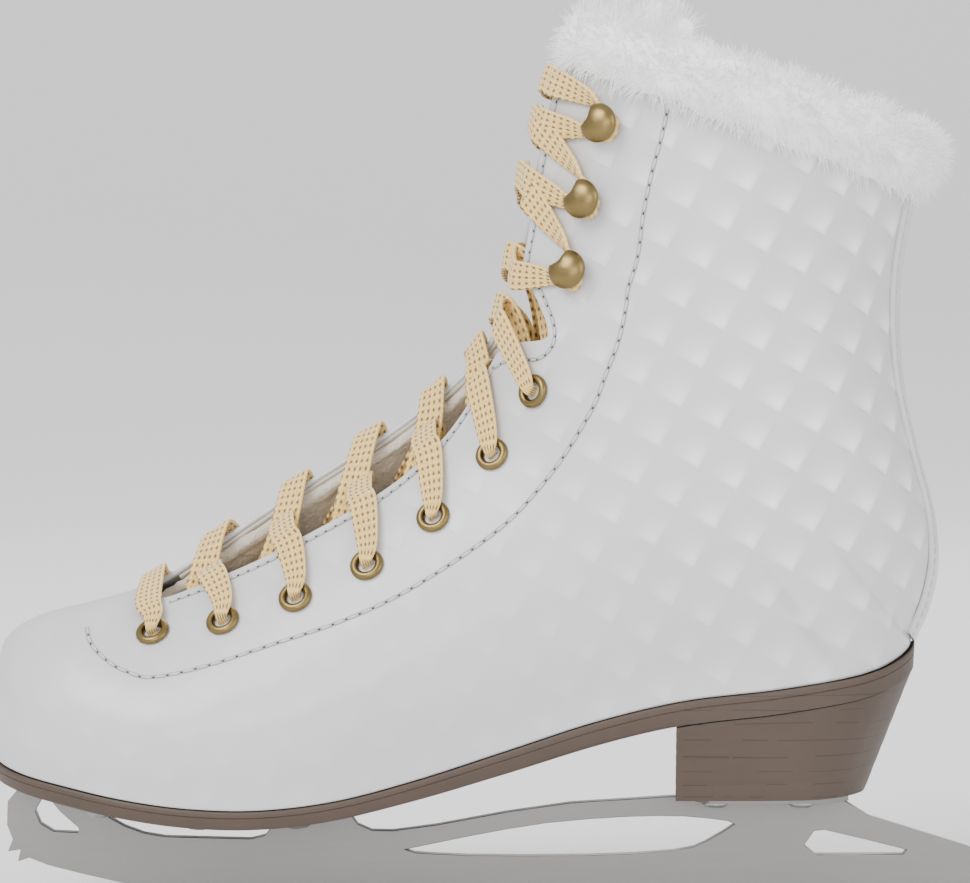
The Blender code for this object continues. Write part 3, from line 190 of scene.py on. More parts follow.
@functools.lru_cache(maxsize=None)
def station(s):
    columns = [smooth(column, s) for column in zip(*STATIONS)]
    base = (to_length(columns[0]), to_height(columns[1]))
    crest = (to_length(columns[2]), to_height(columns[3]))
    wide = BALL_WIDTH / TABLE_WIDTH
    seats = [max(columns[4], 0.0) * wide, max(columns[5], 0.0) * wide]
    if s >= BACK_START:
        seats = [0.0, 0.0]
    sides = [max(columns[6], 0.0) * wide, max(columns[7], 0.0) * wide]
    return base, crest, seats, sides, columns[8], columns[9] * wide


def instep(s):
    """1 where the boot is the foot's instep, which is peaked, and 0 on the toe and the shaft."""
    return ramp(4.5, 7.0, s) * (1 - ramp(11.0, 14.5, s))


def crest_handle(s):
    return ROUND - 0.33 * instep(s)


def side_handle(s):
    return ROUND - 0.22 * instep(s)


def section(s, side, t):
    """A point of the boot's outer surface. t is 0 on the feather line or the back and 1 on the crest."""
    base, crest, seats, sides, share, shift = station(s)
    seat, wide = (seats[0], sides[0]) if side == LATERAL else (seats[1], sides[1])
    span = math.hypot(crest[0] - base[0], crest[1] - base[1])
    middle = share * span
    top = side * shift
    if t < SIDE_SPLIT:
        f = t / SIDE_SPLIT
        turn = 1.0 if s < 15 else min(seat / (HEEL_ROUND * BALL_WIDTH / TABLE_WIDTH), 1.0)
        outward = math.sqrt(1 - turn * turn)
        reach = ROUND * (outward * (wide - seat) + turn * middle * 0.5)
        points = (
            (seat, 0.0),
            (seat + outward * reach, turn * reach),
            (wide, middle * (1 - ROUND)),
            (wide, middle),
        )
    else:
        f = (t - SIDE_SPLIT) / (1 - SIDE_SPLIT)
        points = (
            (wide, middle),
            (wide, middle + side_handle(s) * (span - middle)),
            (top + crest_handle(s) * (wide - top), span),
            (top, span),
        )
    g = 1 - f
    weights = (g ** 3, 3 * g * g * f, 3 * g * f * f, f ** 3)
    u = sum(w * p[0] for w, p in zip(weights, points))
    v = sum(w * p[1] for w, p in zip(weights, points))
    x = base[0] + (crest[0] - base[0]) * v / span
    z = base[1] + (crest[1] - base[1]) * v / span
    return Vector((x, side * u, z))


@functools.lru_cache(maxsize=None)
def normal(s, side, t):
    """The outward direction of the boot's surface."""
    step = 0.01
    along = section(min(s + step, len(STATIONS) - 1), side, t) - section(max(s - step, 0.0), side, t)
    up = section(s, side, min(t + step, 1.0)) - section(s, side, max(t - step, 0.0))
    out = (along.cross(up) if side == LATERAL else up.cross(along)).normalized()
    return out


@functools.lru_cache(maxsize=None)
def arcs(s, side):
    """Lengths along a section from its crest, with the parameters that they belong to."""
    steps = 48
    table = [(0.0, 1.0)]
    last = section(s, side, 1.0)
    for i in range(1, steps + 1):
        t = 1.0 - i / steps
        point = section(s, side, t)
        table.append((table[-1][0] + (point - last).length, t))
        last = point
    return table


def from_crest(s, side, distance):
    """The parameter of the place that lies this far down a section from its crest."""
    table = arcs(s, side)
    if distance <= 0.0:
        return 1.0
    for (a, ta), (b, tb) in zip(table, table[1:]):
        if distance <= b:
            return ta + (tb - ta) * (distance - a) / (b - a)
    return 0.0


def skin(s, side, t, height=0.0):
    """The point this far above the boot's outer surface; inside it where height is negative."""
    out = normal(s, side, t)
    if t >= 1.0 or s <= 0.0 or (t <= 0.0 and s >= BACK_START):
        out = (out + normal(s, -side, t)).normalized()
    return section(s, side, t) + out * height


def over(s, q, height=0.0):
    """The point at arc distance q from the crest, lateral where q is negative."""
    side = LATERAL if q < 0 else MEDIAL
    return skin(s, side, from_crest(s, side, abs(q)), height)


def through(points, x):
    """A smooth curve through (x, value) points at any spacing."""
    if x <= points[0][0]:
        return points[0][1]
    if x >= points[-1][0]:
        return points[-1][1]
    i = next(i for i in range(len(points) - 1) if x < points[i + 1][0])

    def slope(j):
        a, b = points[max(j - 1, 0)], points[min(j + 1, len(points) - 1)]
        return (b[1] - a[1]) / (b[0] - a[0])

    (x0, y0), (x1, y1) = points[i], points[i + 1]
    width = x1 - x0
    f = (x - x0) / width
    rise = f * f * (3 - 2 * f)
    return (
        y0 + (y1 - y0) * rise + width * (slope(i) * f * (1 - f) ** 2 - slope(i + 1) * f * f * (1 - f))
    )


# Arc distance from the crest to each facing's edge, by station
THROAT_LATERAL = [(5.95, 0.0), (6.04, 11.0), (6.2, 17.5), (6.6, 21.5), (7.1, 25.5), (7.8, 29.2), (9.0, 30.0)]
THROAT_LATERAL += [(9.75, 26.5), (10.4, 21.0), (11.2, 17.0), (13.6, 17.0), (16.0, 15.2)]
THROAT_LATERAL += [(25.0, 11.6), (31.0, 11.6)]
THROAT_MEDIAL = [(5.95, 0.0), (6.04, 3.4), (6.2, 4.6), (7.1, 5.0), (9.8, 4.8), (11.2, 7.5), (13.6, 12.5)]
THROAT_MEDIAL += [(16.0, 13.0), (25.0, 11.4), (31.0, 11.4)]


def throat(s, side):
    """Arc distance from the crest to the facing's edge."""
    return through(THROAT_LATERAL if side == LATERAL else THROAT_MEDIAL, s)


def front_edge(s, side):
    """Arc distance from the crest to the boot's front edge, which the bay takes further back."""
    return throat(s, side) + max(through(BAY, s), 0.0)


def facing_frame(point, out, toward):
    """A frame with z along out and x as near toward as it can be."""
    z = out.normalized()
    x = (toward - z * toward.dot(z)).normalized()
    y = z.cross(x)
    return Matrix.Translation(point) @ Matrix((x, y, z)).transposed().to_4x4()


def tongue_depth(s, q):
    """How far the tongue lies under the boot's outer surface."""
    under = UPPER + STIFFENER + LINING + 2 * GAP + LACE_THICK + 3.8
    slack = 4.5 * ramp(6.4, 7.6, s) * (1 - ramp(10.8, 13.5, s))
    low = under + slack + 2.0 * ramp(24.0, 27.5, s)
    gap = 3.6 + (low - 3.6) * (1 - ramp(13.8, 16.8, s))
    middle, half = throat_middle(s)
    return gap + (low - gap) * ramp(0.1, 0.85, abs(q - middle) / half)


def throat_middle(s):
    """The middle of the throat, and half its width."""
    lateral, medial = throat(s, LATERAL), throat(s, MEDIAL)
    return (medial - lateral) / 2, max((medial + lateral) / 2, 1.0)


def tongue_half(s):
    widening = 0.42 + 0.58 * ramp(6.2, 9.0, s)
    return TONGUE_HALF * widening - 5.0 * ramp(10.0, 14.0, s) + 6.0 * ramp(24.0, 28.0, s)


def tongue_place(s, share):
    return throat_middle(s)[0] + share * tongue_half(s)


def tongue_point(s, f, height):
    """A point over the tongue's face, which bows across the instep between its two long edges."""
    q = tongue_place(s, f)
    along = over(s, q, -tongue_depth(s, q) + height)
    bowed = 1 - ramp(13.0, 16.0, s)
    if bowed == 0.0:
        return along
    ends = [tongue_place(s, end) for end in (-1.0, 1.0)]
    middle = tongue_place(s, 0.0)
    feet = [over(s, q, -tongue_depth(s, q)) for q in ends]
    crown = over(s, middle, -tongue_depth(s, middle))
    half = (feet[1] - feet[0]) / 2
    drop = (feet[0] + feet[1]) / 2 - crown
    end = ends[0] if f < 0 else ends[1]
    out = over(s, middle, 1.0) - over(s, middle, 0.0)
    out = out.lerp(over(s, end, 1.0) - over(s, end, 0.0), abs(f)).normalized()
    bow = crown + half * f + drop * abs(f) ** TONGUE_BOW + out * height
    return along.lerp(bow, bowed)


def outline(s, side, grow):
    """The feather line in plan, moved outward by grow, with the height of the feather line."""
    step = 0.02
    a = section(max(s - step, 0.0), side, 0.0)
    b = section(min(s + step, float(BACK_START)), side, 0.0)
    here = section(min(s, float(BACK_START)), side, 0.0)
    if s <= 0.0:
        out = Vector((-1.0, 0.0, 0.0))
    elif s >= BACK_START:
        out = Vector((1.0, 0.0, 0.0))
    else:
        out = Vector((-(b - a).y, (b - a).x, 0.0)).normalized()
        if out.y * side < 0:
            out = -out
    return here + out * grow


def sole_depth(s):
    return SOLE + (WAIST_SOLE - SOLE) * ramp(9.0, 12.0, s)


def sole_under(x):
    """Height of the sole's underside on the centre line."""
    low, high = 0.0, float(BACK_START)
    for _ in range(40):
        s = 0.5 * (low + high)
        if station(s)[0][0] < x:
            low = s
        else:
            high = s
    return station(low)[0][1] - GAP - sole_depth(low)


def heel_point(s, side, level):
    """A point of the heel's outline. level is 0 on the sole and 1 on the heel's underside."""
    top = outline(s, side, WELT - SOLE_DRAFT)
    base_z = HEEL_BASE + BLADE_HEIGHT - TABLE_BLADE
    breast = to_length(HEEL_BREAST)
    rear = outline(float(BACK_START), side, 0.0).x
    back = ramp(breast, rear, top.x)
    x = max(top.x, breast) - HEEL_TAPER * back * level
    y = top.y * (1 - 0.12 * level)
    top_z = station(min(s, float(BACK_START)))[0][1] - GAP - sole_depth(s) - 2 * GAP
    z = top_z + (base_z - top_z) * level
    return Vector((x, y, z))


def heel_first():
    """Station of the heel's breast."""
    low, high = 10.0, 15.0
    for _ in range(40):
        s = 0.5 * (low + high)
        if station(s)[0][0] < to_length(HEEL_BREAST):
            low = s
        else:
            high = s
    return low


def lace_place(s, side, inset):
    """A place in the facing, with the directions out of the boot and toward the throat."""
    q = side * (throat(s, side) + inset)
    point = over(s, q, 0.0)
    out = normal(s, side, from_crest(s, side, abs(q)))
    toward = over(s, side * (abs(q) - 4.0), 0.0) - point
    return point, out, toward


def millimetres(s, q, distance):
    """The station this far up the boot from a place on it."""
    step = 0.02
    return s + distance * 2 * step / (over(s + step, q) - over(s - step, q)).length


class Ribbon:
    """A flat lace along waypoints on the boot, each with its own width and turn on edge."""

    def __init__(self):
        self.stops = []

    def go(self, s, q, height, width=LACE_WIDTH, on_edge=0.0, thick=LACE_THICK):
        step = 0.02
        up = (over(s + step, q) - over(s - step, q)).normalized()
        side = LATERAL if q < 0 else MEDIAL
        out = normal(s, side, from_crest(s, side, abs(q)))
        across = (up * (1 - on_edge) + out * on_edge).normalized()
        self.stops.append((over(s, q, height), across, width, thick))


UNDER_FACING = -(UPPER + STIFFENER + LINING + 2 * GAP + LACE_THICK / 2 + 2.2)
OVER_FACING = 1.9
OVER_FLANGE = 2.8


def eyelet_arc(row, side):
    s, inset = EYELETS[row]
    return s, side * (throat(s, side) + inset)


def hook_arc(row, side):
    s, inset = HOOKS[row]
    return s, side * (throat(s, side) + inset)


def through_eyelet(ribbon, row, side):
    """From outside the boot to the space under the facing."""
    s, q = eyelet_arc(row, side)
    ribbon.go(s, q - side * 5.6, OVER_FLANGE, 6.0)
    ribbon.go(s, q - side * 0.5, OVER_FLANGE - 0.3, 3.4, 0.0, 1.4)
    ribbon.go(s, q, 0.6, 3.0, 0.0, 1.4)
    ribbon.go(s, q, UNDER_FACING + 2.6, 3.0, 0.0, 1.4)
    ribbon.go(s, q - side * 0.7, UNDER_FACING + 0.4, 3.4, 0.0, 1.4)
    ribbon.go(s, q - side * 4.6, UNDER_FACING - 0.3, 5.0)


def cross_throat(ribbon, start, finish, side, level):
    """Out from under one facing, across the tongue and over the other facing's edge."""
    def at(f):
        return start + (finish - start) * f

    def edge(f, which):
        return throat(at(f), which)

    # the layers turn in under the crest on the medial side
    deeper = 2.6 * instep(start) * (1 - 0.6 * ramp(9.0, 11.0, start)) if side == MEDIAL else 0.0
    ribbon.go(at(0.18), side * (edge(0.18, side) + 2.0), UNDER_FACING - 0.3 - 0.6 * deeper, 7.0)
    ribbon.go(at(0.32), side * (edge(0.32, side) - 4.0), UNDER_FACING + 1.6 - deeper)
    ribbon.go(at(0.52), throat_middle(at(0.52))[0], -3.0 + level)
    ribbon.go(at(0.7), -side * (edge(0.7, -side) - 3.5), 1.4 + 0.4 * level)
    ribbon.go(at(0.82), -side * (edge(0.82, -side) + 1.5), OVER_FACING + 0.6)


def round_hook(ribbon, row, side):
    """Along the lower side of the hook's neck, round it and out along its upper side."""
    s, q = hook_arc(row, side)
    around = HOOK_NECK + GAP + 1.8
    height, low = 2.5, 1.5
    ribbon.go(millimetres(s, q, -5.2), q - side * 6.5, OVER_FACING, 5.0, 0.35)
    ribbon.go(millimetres(s, q, -around), q - side * 1.2, height, low, 1.0, 1.2)
    ribbon.go(millimetres(s, q, -around * 0.7), q + side * around, height, low, 1.0, 1.2)
    ribbon.go(millimetres(s, q, around * 0.7), q + side * around, height, low, 1.0, 1.2)
    ribbon.go(millimetres(s, q, around), q - side * 1.2, height, low, 1.0, 1.2)
    ribbon.go(millimetres(s, q, 5.2), q - side * 6.5, OVER_FACING, 5.0, 0.35)


def lace_half(ribbon, side, level):
    """From the eyelet at the toe on one side up to the lace's end, which is tucked in beside the tongue."""
    for row in range(len(EYELETS)):
        through_eyelet(ribbon, row, side)
        start = EYELETS[row][0]
        if row + 1 < len(EYELETS):
            cross_throat(ribbon, start, EYELETS[row + 1][0], side, level)
        else:
            first_hook(ribbon, start, side, level)
        side = -side
    for row in range(len(HOOKS)):
        round_hook(ribbon, row, side)
        start = millimetres(HOOKS[row][0], 0.0, 6.0 if row + 1 < len(HOOKS) else 3.0)
        if row + 1 < len(HOOKS):
            finish = millimetres(HOOKS[row + 1][0], 0.0, -7.0)
            over_tongue(ribbon, start, finish, side, level)
        else:
            tuck_in(ribbon, start, side, level)
        side = -side


def first_hook(ribbon, start, side, level):
    finish = millimetres(HOOKS[0][0], 0.0, -7.0)
    ribbon.go(start + 0.5, side * (throat(start, side) + 4.0), UNDER_FACING + 0.6, 7.0)
    ribbon.go(start + 1.0, side * (throat(start, side) - 4.0), UNDER_FACING + 3.4)
    ribbon.go(0.5 * (start + finish) + 0.3, throat_middle(start)[0], -0.7 + level)
    ribbon.go(finish - 0.5, -side * (throat(finish, -side) - 3.0), 1.6 + 0.3 * level)
    ribbon.go(finish - 0.2, -side * (throat(finish, -side) + 3.0), OVER_FACING + 0.4)


def over_tongue(ribbon, start, finish, side, level):
    span = finish - start
    ribbon.go(start + 0.15 * span, side * (throat(start, side) + 2.0), OVER_FACING + 1.0)
    ribbon.go(start + 0.3 * span, side * (throat(start, side) - 4.0), 1.2 + 0.5 * level)
    ribbon.go(start + 0.5 * span, throat_middle(start)[0], 0.1 + level)
    ribbon.go(start + 0.7 * span, -side * (throat(finish, -side) - 4.0), 1.2 + 0.5 * level)
    ribbon.go(start + 0.85 * span, -side * (throat(finish, -side) + 2.0), OVER_FACING + 1.0)


def tuck_in(ribbon, start, side, level):
    ribbon.go(start + 0.05, side * (throat(start, side) + 2.0), OVER_FACING + 1.0)
    ribbon.go(start + 0.1, side * (throat(start, side) - 4.0), 1.2 + 0.5 * level)
    ribbon.go(start + 0.15, throat_middle(start)[0], 0.1 + level)
    ribbon.go(start + 0.1, -side * (throat(start, -side) - 3.5), -3.6 + 0.5 * level, 7.0)
    ribbon.go(start - 0.2, -side * (throat(start, -side) + 1.5), UNDER_FACING - 0.9, 6.0)
    ribbon.go(start - 1.2, -side * (throat(start, -side) + 6.0), UNDER_FACING - 1.3, 6.0)
    ribbon.go(start - 2.8, -side * (throat(start, -side) + 8.0), UNDER_FACING - 0.9, 6.0)


# ------------------------------------------------------------------------------------------------
# Meshes made finely


RNG = np.random.default_rng(7)


def unit(a):
    return a / np.maximum(np.linalg.norm(a, axis=-1, keepdims=True), 1e-9)


def refine(a, n, axis):
    """Catmull-Rom points between the samples of a, n to each step."""
    a = np.moveaxis(np.asarray(a, float), axis, 0)
    p = np.concatenate([2 * a[:1] - a[1:2], a, 2 * a[-1:] - a[-2:-1]])
    steps = []
    for k in range(n):
        f = k / n
        w = (-0.5 * f + f * f - 0.5 * f**3, 1 - 2.5 * f * f + 1.5 * f**3)
        w += (0.5 * f + 2 * f * f - 1.5 * f**3, -0.5 * f * f + 0.5 * f**3)
        steps.append(sum(w[j] * p[j : len(p) - 3 + j] for j in range(4)))
    made = np.stack(steps, 1).reshape(-1, *a.shape[1:])
    return np.moveaxis(np.concatenate([made, a[-1:]]), 0, axis)


def mesh_object(name, points, faces, finish, body, node=None, values=None, sharp=None):
    """An object of points in millimetres. faces are lists of equal length; values are per-point vectors."""
    mesh = bpy.data.meshes.new(name)
    points = np.asarray(points, float).reshape(-1, 3) * MM
    faces = np.asarray(faces, int)
    mesh.vertices.add(len(points))
    mesh.vertices.foreach_set("co", points.ravel())
    mesh.loops.add(faces.size)
    mesh.loops.foreach_set("vertex_index", faces.ravel())
    mesh.polygons.add(len(faces))
    mesh.polygons.foreach_set("loop_start", np.arange(len(faces)) * faces.shape[1])
    mesh.update(calc_edges=True)
    if values is not None:
        for key, value in values.items():
            layer = mesh.attributes.new(key, "FLOAT_VECTOR", "POINT")
            layer.data.foreach_set("vector", np.asarray(value, float).ravel())
    mesh.validate()
    mesh.shade_smooth()
    if sharp:
        mesh.set_sharp_from_angle(angle=math.radians(sharp))
    mesh.materials.append(finish)
    made = bpy.data.objects.new(name, mesh)
    bpy.context.scene.collection.objects.link(made)
    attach(made, body)
    if node:
        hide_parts(*([node] if isinstance(node, str) else node))
    return made


def quads(rows, columns, around_rows=False, around_columns=False):
    r = np.arange(rows if around_rows else rows - 1)
    c = np.arange(columns if around_columns else columns - 1)
    r, c = np.meshgrid(r, c, indexing="ij")
    r1, c1 = (r + 1) % rows, (c + 1) % columns
    corners = [r * columns + c, r * columns + c1, r1 * columns + c1, r1 * columns + c]
    return np.stack(corners, -1).reshape(-1, 4)


def merged(parts):
    """Join (points, faces, values) parts into one."""
    points, faces, values, start = [], [], {}, 0
    for p, f, v in parts:
        p = np.asarray(p, float).reshape(-1, 3)
        points.append(p)
        faces.append(np.asarray(f) + start)
        for key, value in v.items():
            values.setdefault(key, []).append(np.asarray(value, float).reshape(-1, 3))
        start += len(p)
    return np.concatenate(points), np.concatenate(faces), {k: np.concatenate(v) for k, v in values.items()}


def skin_grid(stations, shares, side, edge, height, fine=1):
    """Points and outward directions of a layer, from the feather line or the back to its front edge."""
    points, outs = [], []
    for s in stations:
        last = from_crest(s, side, edge(s))
        row, way = [], []
        for share in shares:
            t = share * last
            out = skin(s, side, t, 1.0) - skin(s, side, t, 0.0)
            row.append(skin(s, side, t, height))
            way.append(out)
        points.append(row)
        outs.append(way)
    points, outs = np.array(points), np.array(outs)
    if fine > 1:
        points, outs = refine(points, fine, 1), refine(outs, fine, 1)
    return points, unit(outs)


def edge_at(side, extra=0.0):
    return lambda s: front_edge(s, side) + extra * ramp(THROAT_BASE, 6.3, s)


# ------------------------------------------------------------------------------------------------
# Finishes


class Finish:
    """A material's nodes, made with few words."""

    def __init__(self, name, colour, roughness, metallic=0.0, **sockets):
        self.made = bpy.data.materials.new(name)
        self.made.use_nodes = True
        self.nodes = self.made.node_tree.nodes
        self.links = self.made.node_tree.links
        self.shader = self.nodes["Principled BSDF"]
        self.set("Base Color", (*colour, 1.0))
        self.set("Roughness", roughness)
        self.set("Metallic", metallic)
        for key, value in sockets.items():
            self.set(key.replace("_", " "), value)

    def set(self, socket, value):
        if isinstance(value, bpy.types.NodeSocket):
            self.links.new(value, self.shader.inputs[socket])
        else:
            self.shader.inputs[socket].default_value = value

    def place(self, name):
        node = self.nodes.new("ShaderNodeAttribute")
        node.attribute_name = name
        return node.outputs["Vector"]

    def parts(self, vector):
        node = self.nodes.new("ShaderNodeSeparateXYZ")
        self.links.new(vector, node.inputs[0])
        return node.outputs

    def math(self, operation, a, b=None, clamp=False):
        node = self.nodes.new("ShaderNodeMath")
        node.operation = operation
        node.use_clamp = clamp
        for socket, value in zip(node.inputs, (a, b)):
            if isinstance(value, bpy.types.NodeSocket):
                self.links.new(value, socket)
            elif value is not None:
                socket.default_value = value
        return node.outputs[0]

    def object_place(self):
        return self.nodes.new("ShaderNodeTexCoord").outputs["Object"]

    def noise(self, scale, detail=3.0, vector=None, roughness=0.5, stretch=None):
        node = self.nodes.new("ShaderNodeTexNoise")
        node.inputs["Scale"].default_value = scale
        node.inputs["Detail"].default_value = detail
        node.inputs["Roughness"].default_value = roughness
        source = vector or self.object_place()
        if stretch:
            mapping = self.nodes.new("ShaderNodeMapping")
            mapping.inputs["Scale"].default_value = stretch
            self.links.new(source, mapping.inputs["Vector"])
            source = mapping.outputs[0]
        self.links.new(source, node.inputs["Vector"])
        return node.outputs["Fac"]

    def cells(self, scale, feature="F1"):
        node = self.nodes.new("ShaderNodeTexVoronoi")
        node.feature = feature
        node.inputs["Scale"].default_value = scale
        self.links.new(self.object_place(), node.inputs["Vector"])
        return node.outputs["Distance"]

    def mix(self, factor, a, b):
        node = self.nodes.new("ShaderNodeMix")
        node.data_type = "RGBA"
        for socket, value in ((node.inputs[0], factor), (node.inputs[6], a), (node.inputs[7], b)):
            if isinstance(value, bpy.types.NodeSocket):
                self.links.new(value, socket)
            elif isinstance(value, tuple):
                socket.default_value = (*value, 1.0)
            else:
                socket.default_value = value
        return node.outputs[2]

    def bump(self, height, depth, strength=1.0, base=None):
        node = self.nodes.new("ShaderNodeBump")
        node.inputs["Distance"].default_value = depth * MM
        node.inputs["Strength"].default_value = strength
        self.links.new(height, node.inputs["Height"])
        if base is not None:
            self.links.new(base, node.inputs["Normal"])
        return node.outputs[0]


CELL = 12.0  # side of an embossed square, in millimetres
CELL_TURN = math.radians(29)


def coated_leather():
    """White coated leather with rows of tilted embossed squares, a fine grain, a clear-coat gloss, and a
    painted highlight that lightens each square toward one corner.
    """
    f = Finish("leather_painted_emboss_highlight", (0.56, 0.565, 0.575), 0.36, Coat_Weight=0.22, Coat_Roughness=0.28)
    a, b, weight = f.parts(f.place("emboss"))
    a, b = f.math("FRACT", a), f.math("FRACT", b)
    rise = []
    for along in (a, b):
        fade = f.math("SUBTRACT", 1.0, f.math("POWER", along, 9.0))
        rise.append(f.math("MULTIPLY", f.math("POWER", along, 2.2), fade))
    ramped = f.math("MULTIPLY", f.math("MULTIPLY", rise[0], rise[1]), 2.6)
    # The emboss's rise, used both as its bump height and as the mask of its painted highlight.
    emboss_rise_and_painted_highlight = f.math("MULTIPLY", ramped, weight)
    cloud = f.noise(28, 4)
    tone = f.mix(cloud, (0.545, 0.55, 0.565), (0.60, 0.60, 0.605))
    # Painted highlight: the base colour goes near white where each embossed square rises toward its corner.
    f.set("Base Color", f.mix(emboss_rise_and_painted_highlight, tone, (0.95, 0.955, 0.96)))
    grain = f.bump(f.noise(1500, 4, roughness=0.6), 0.05, 0.5)
    fine = f.bump(f.cells(900), 0.03, 0.4, grain)
    f.set("Normal", f.bump(emboss_rise_and_painted_highlight, 0.7, 1.0, fine))
    return f.made


def fleece(name, light, dark):
    f = Finish(name, light, 0.95, Sheen_Weight=0.4, Sheen_Roughness=0.5)
    tuft = f.noise(420, 5, roughness=0.65)
    f.set("Base Color", f.mix(tuft, dark, light))
    f.set("Normal", f.bump(tuft, 1.1, 0.9, f.bump(f.cells(700), 0.35, 0.7)))
    return f.made


def fur(name, light, dark):
    # Emission makes the fur glow faintly white: a painted glow that lifts it above the leather's brightness.
    f = Finish(name, light, 0.85, Sheen_Weight=0.6, Sheen_Roughness=0.4, Emission_Strength=0.22)
    f.set("Base Color", f.mix(f.noise(160, 3), dark, light))
    f.set("Normal", f.bump(f.noise(900, 3), 0.3, 0.5))
    return f.made


def satin():
    f = Finish("cream_satin", (0.80, 0.72, 0.59), 0.5, Sheen_Weight=0.3)
    f.set("Base Color", f.mix(f.noise(60, 3), (0.70, 0.62, 0.50), (0.88, 0.79, 0.66)))
    f.set("Normal", f.bump(f.noise(900, 2, stretch=(1.0, 6.0, 1.0)), 0.12, 0.5))
    return f.made


def plain_layer(name, colour, depth=0.1):
    f = Finish(name, colour, 0.85)
    f.set("Base Color", f.mix(f.noise(300, 4), tuple(c * 0.8 for c in colour), colour))
    f.set("Normal", f.bump(f.noise(900, 4), depth, 0.6))
    return f.made


def moulded():
    """Brown moulded sole material with a leather-like grain."""
    f = Finish("brown_moulding", (0.085, 0.058, 0.043), 0.55, Specular_IOR_Level=0.45)
    tone = f.mix(f.noise(45, 5), (0.050, 0.0335, 0.0240), (0.076, 0.051, 0.0365))
    x, y, z = f.parts(f.object_place())
    wander = f.math("MULTIPLY", f.noise(14, 2, stretch=(1.0, 1.0, 9.0)), 0.0035)
    layer = f.math("FRACT", f.math("DIVIDE", f.math("ADD", z, wander), 0.0041))
    line = f.math("GREATER_THAN", layer, 0.93)
    behind = f.math("MULTIPLY", f.math("GREATER_THAN", x, 0.05), f.math("LESS_THAN", z, 0.0652))
    faint = f.math("MULTIPLY", f.math("MULTIPLY", line, behind), f.math("GREATER_THAN", f.noise(70, 3), 0.46))
    f.set("Base Color", f.mix(f.math("MULTIPLY", faint, 0.55), tone, (0.018, 0.012, 0.009)))
    grain = f.bump(f.noise(700, 4, roughness=0.6), 0.09, 0.55)
    f.set("Normal", f.bump(f.noise(260, 3, stretch=(1.0, 1.0, 5.0)), 0.05, 0.4, grain))
    return f.made


def satin_steel(name, colour, roughness):
    """Rolled and blasted steel, with faint marks along its length."""
    f = Finish(name, colour, roughness, 1.0)
    marks = f.noise(90, 4, stretch=(0.6, 4.0, 9.0))
    f.set("Base Color", f.mix(marks, tuple(c * 0.86 for c in colour), colour))
    f.set("Roughness", f.math("ADD", f.math("MULTIPLY", marks, 0.18), roughness - 0.08))
    f.set("Normal", f.bump(f.noise(1300, 3, stretch=(0.5, 2.0, 3.0)), 0.03, 0.45))
    return f.made


def old_gold():
    f = Finish("old_gold", (0.50, 0.385, 0.20), 0.34, 1.0)
    wear = f.noise(260, 4)
    f.set("Base Color", f.mix(wear, (0.17, 0.12, 0.045), (0.25, 0.18, 0.075)))
    f.set("Roughness", f.math("ADD", f.math("MULTIPLY", wear, 0.2), 0.24))
    f.set("Normal", f.bump(f.noise(2200, 3), 0.02, 0.4))
    return f.made


def knitted():
    """A flat knitted lace: ribs along it, and rows of small holes between them, with painted shade in the
    valleys between ribs and in the holes.
    """
    f = Finish("lace_knit", (0.90, 0.80, 0.52), 0.8, Sheen_Weight=0.3, Subsurface_Weight=0.12)
    f.set("Subsurface Radius", (0.002, 0.0016, 0.0008))
    run, across, _ = f.parts(f.place("weave"))
    rib = f.math("SINE", f.math("MULTIPLY", across, 2 * math.pi / 1.15))
    along = f.math("MULTIPLY", run, 2 * math.pi / 1.5)
    stitch = f.math("SINE", f.math("ADD", along, f.math("MULTIPLY", rib, 1.2)))
    both = f.math("ADD", f.math("MULTIPLY", rib, 0.5), f.math("MULTIPLY", stitch, 0.5))
    high = f.math("MULTIPLY", both, 0.5)
    row = f.math("FRACT", f.math("DIVIDE", f.math("ADD", across, 20.0), 1.7))
    step = f.math("FRACT", f.math("DIVIDE", f.math("ADD", run, 0.0), 2.6))
    dx = f.math("ABSOLUTE", f.math("SUBTRACT", row, 0.5))
    dy = f.math("ABSOLUTE", f.math("SUBTRACT", step, 0.5))
    dx = f.math("POWER", f.math("MULTIPLY", dx, 3.3), 2.0)
    dy = f.math("POWER", f.math("MULTIPLY", dy, 2.9), 2.0)
    near = f.math("ADD", dx, dy)
    hole = f.math("SUBTRACT", 1.0, near, clamp=True)
    # Colour runs from deep orange in the valleys to light tan on the ribs: the lace's own tan with painted
    # shade in the valleys.
    tone = f.mix(f.math("ADD", high, 0.5, clamp=True), (0.74, 0.45, 0.12), (0.93, 0.68, 0.25))
    # The holes are coloured near-black brown: painted shade seen through them.
    f.set("Base Color", f.mix(hole, tone, (0.10, 0.045, 0.01)))
    f.set("Normal", f.bump(f.math("SUBTRACT", high, hole), 0.3, 0.8))
    return f.made


# ------------------------------------------------------------------------------------------------
# Boot


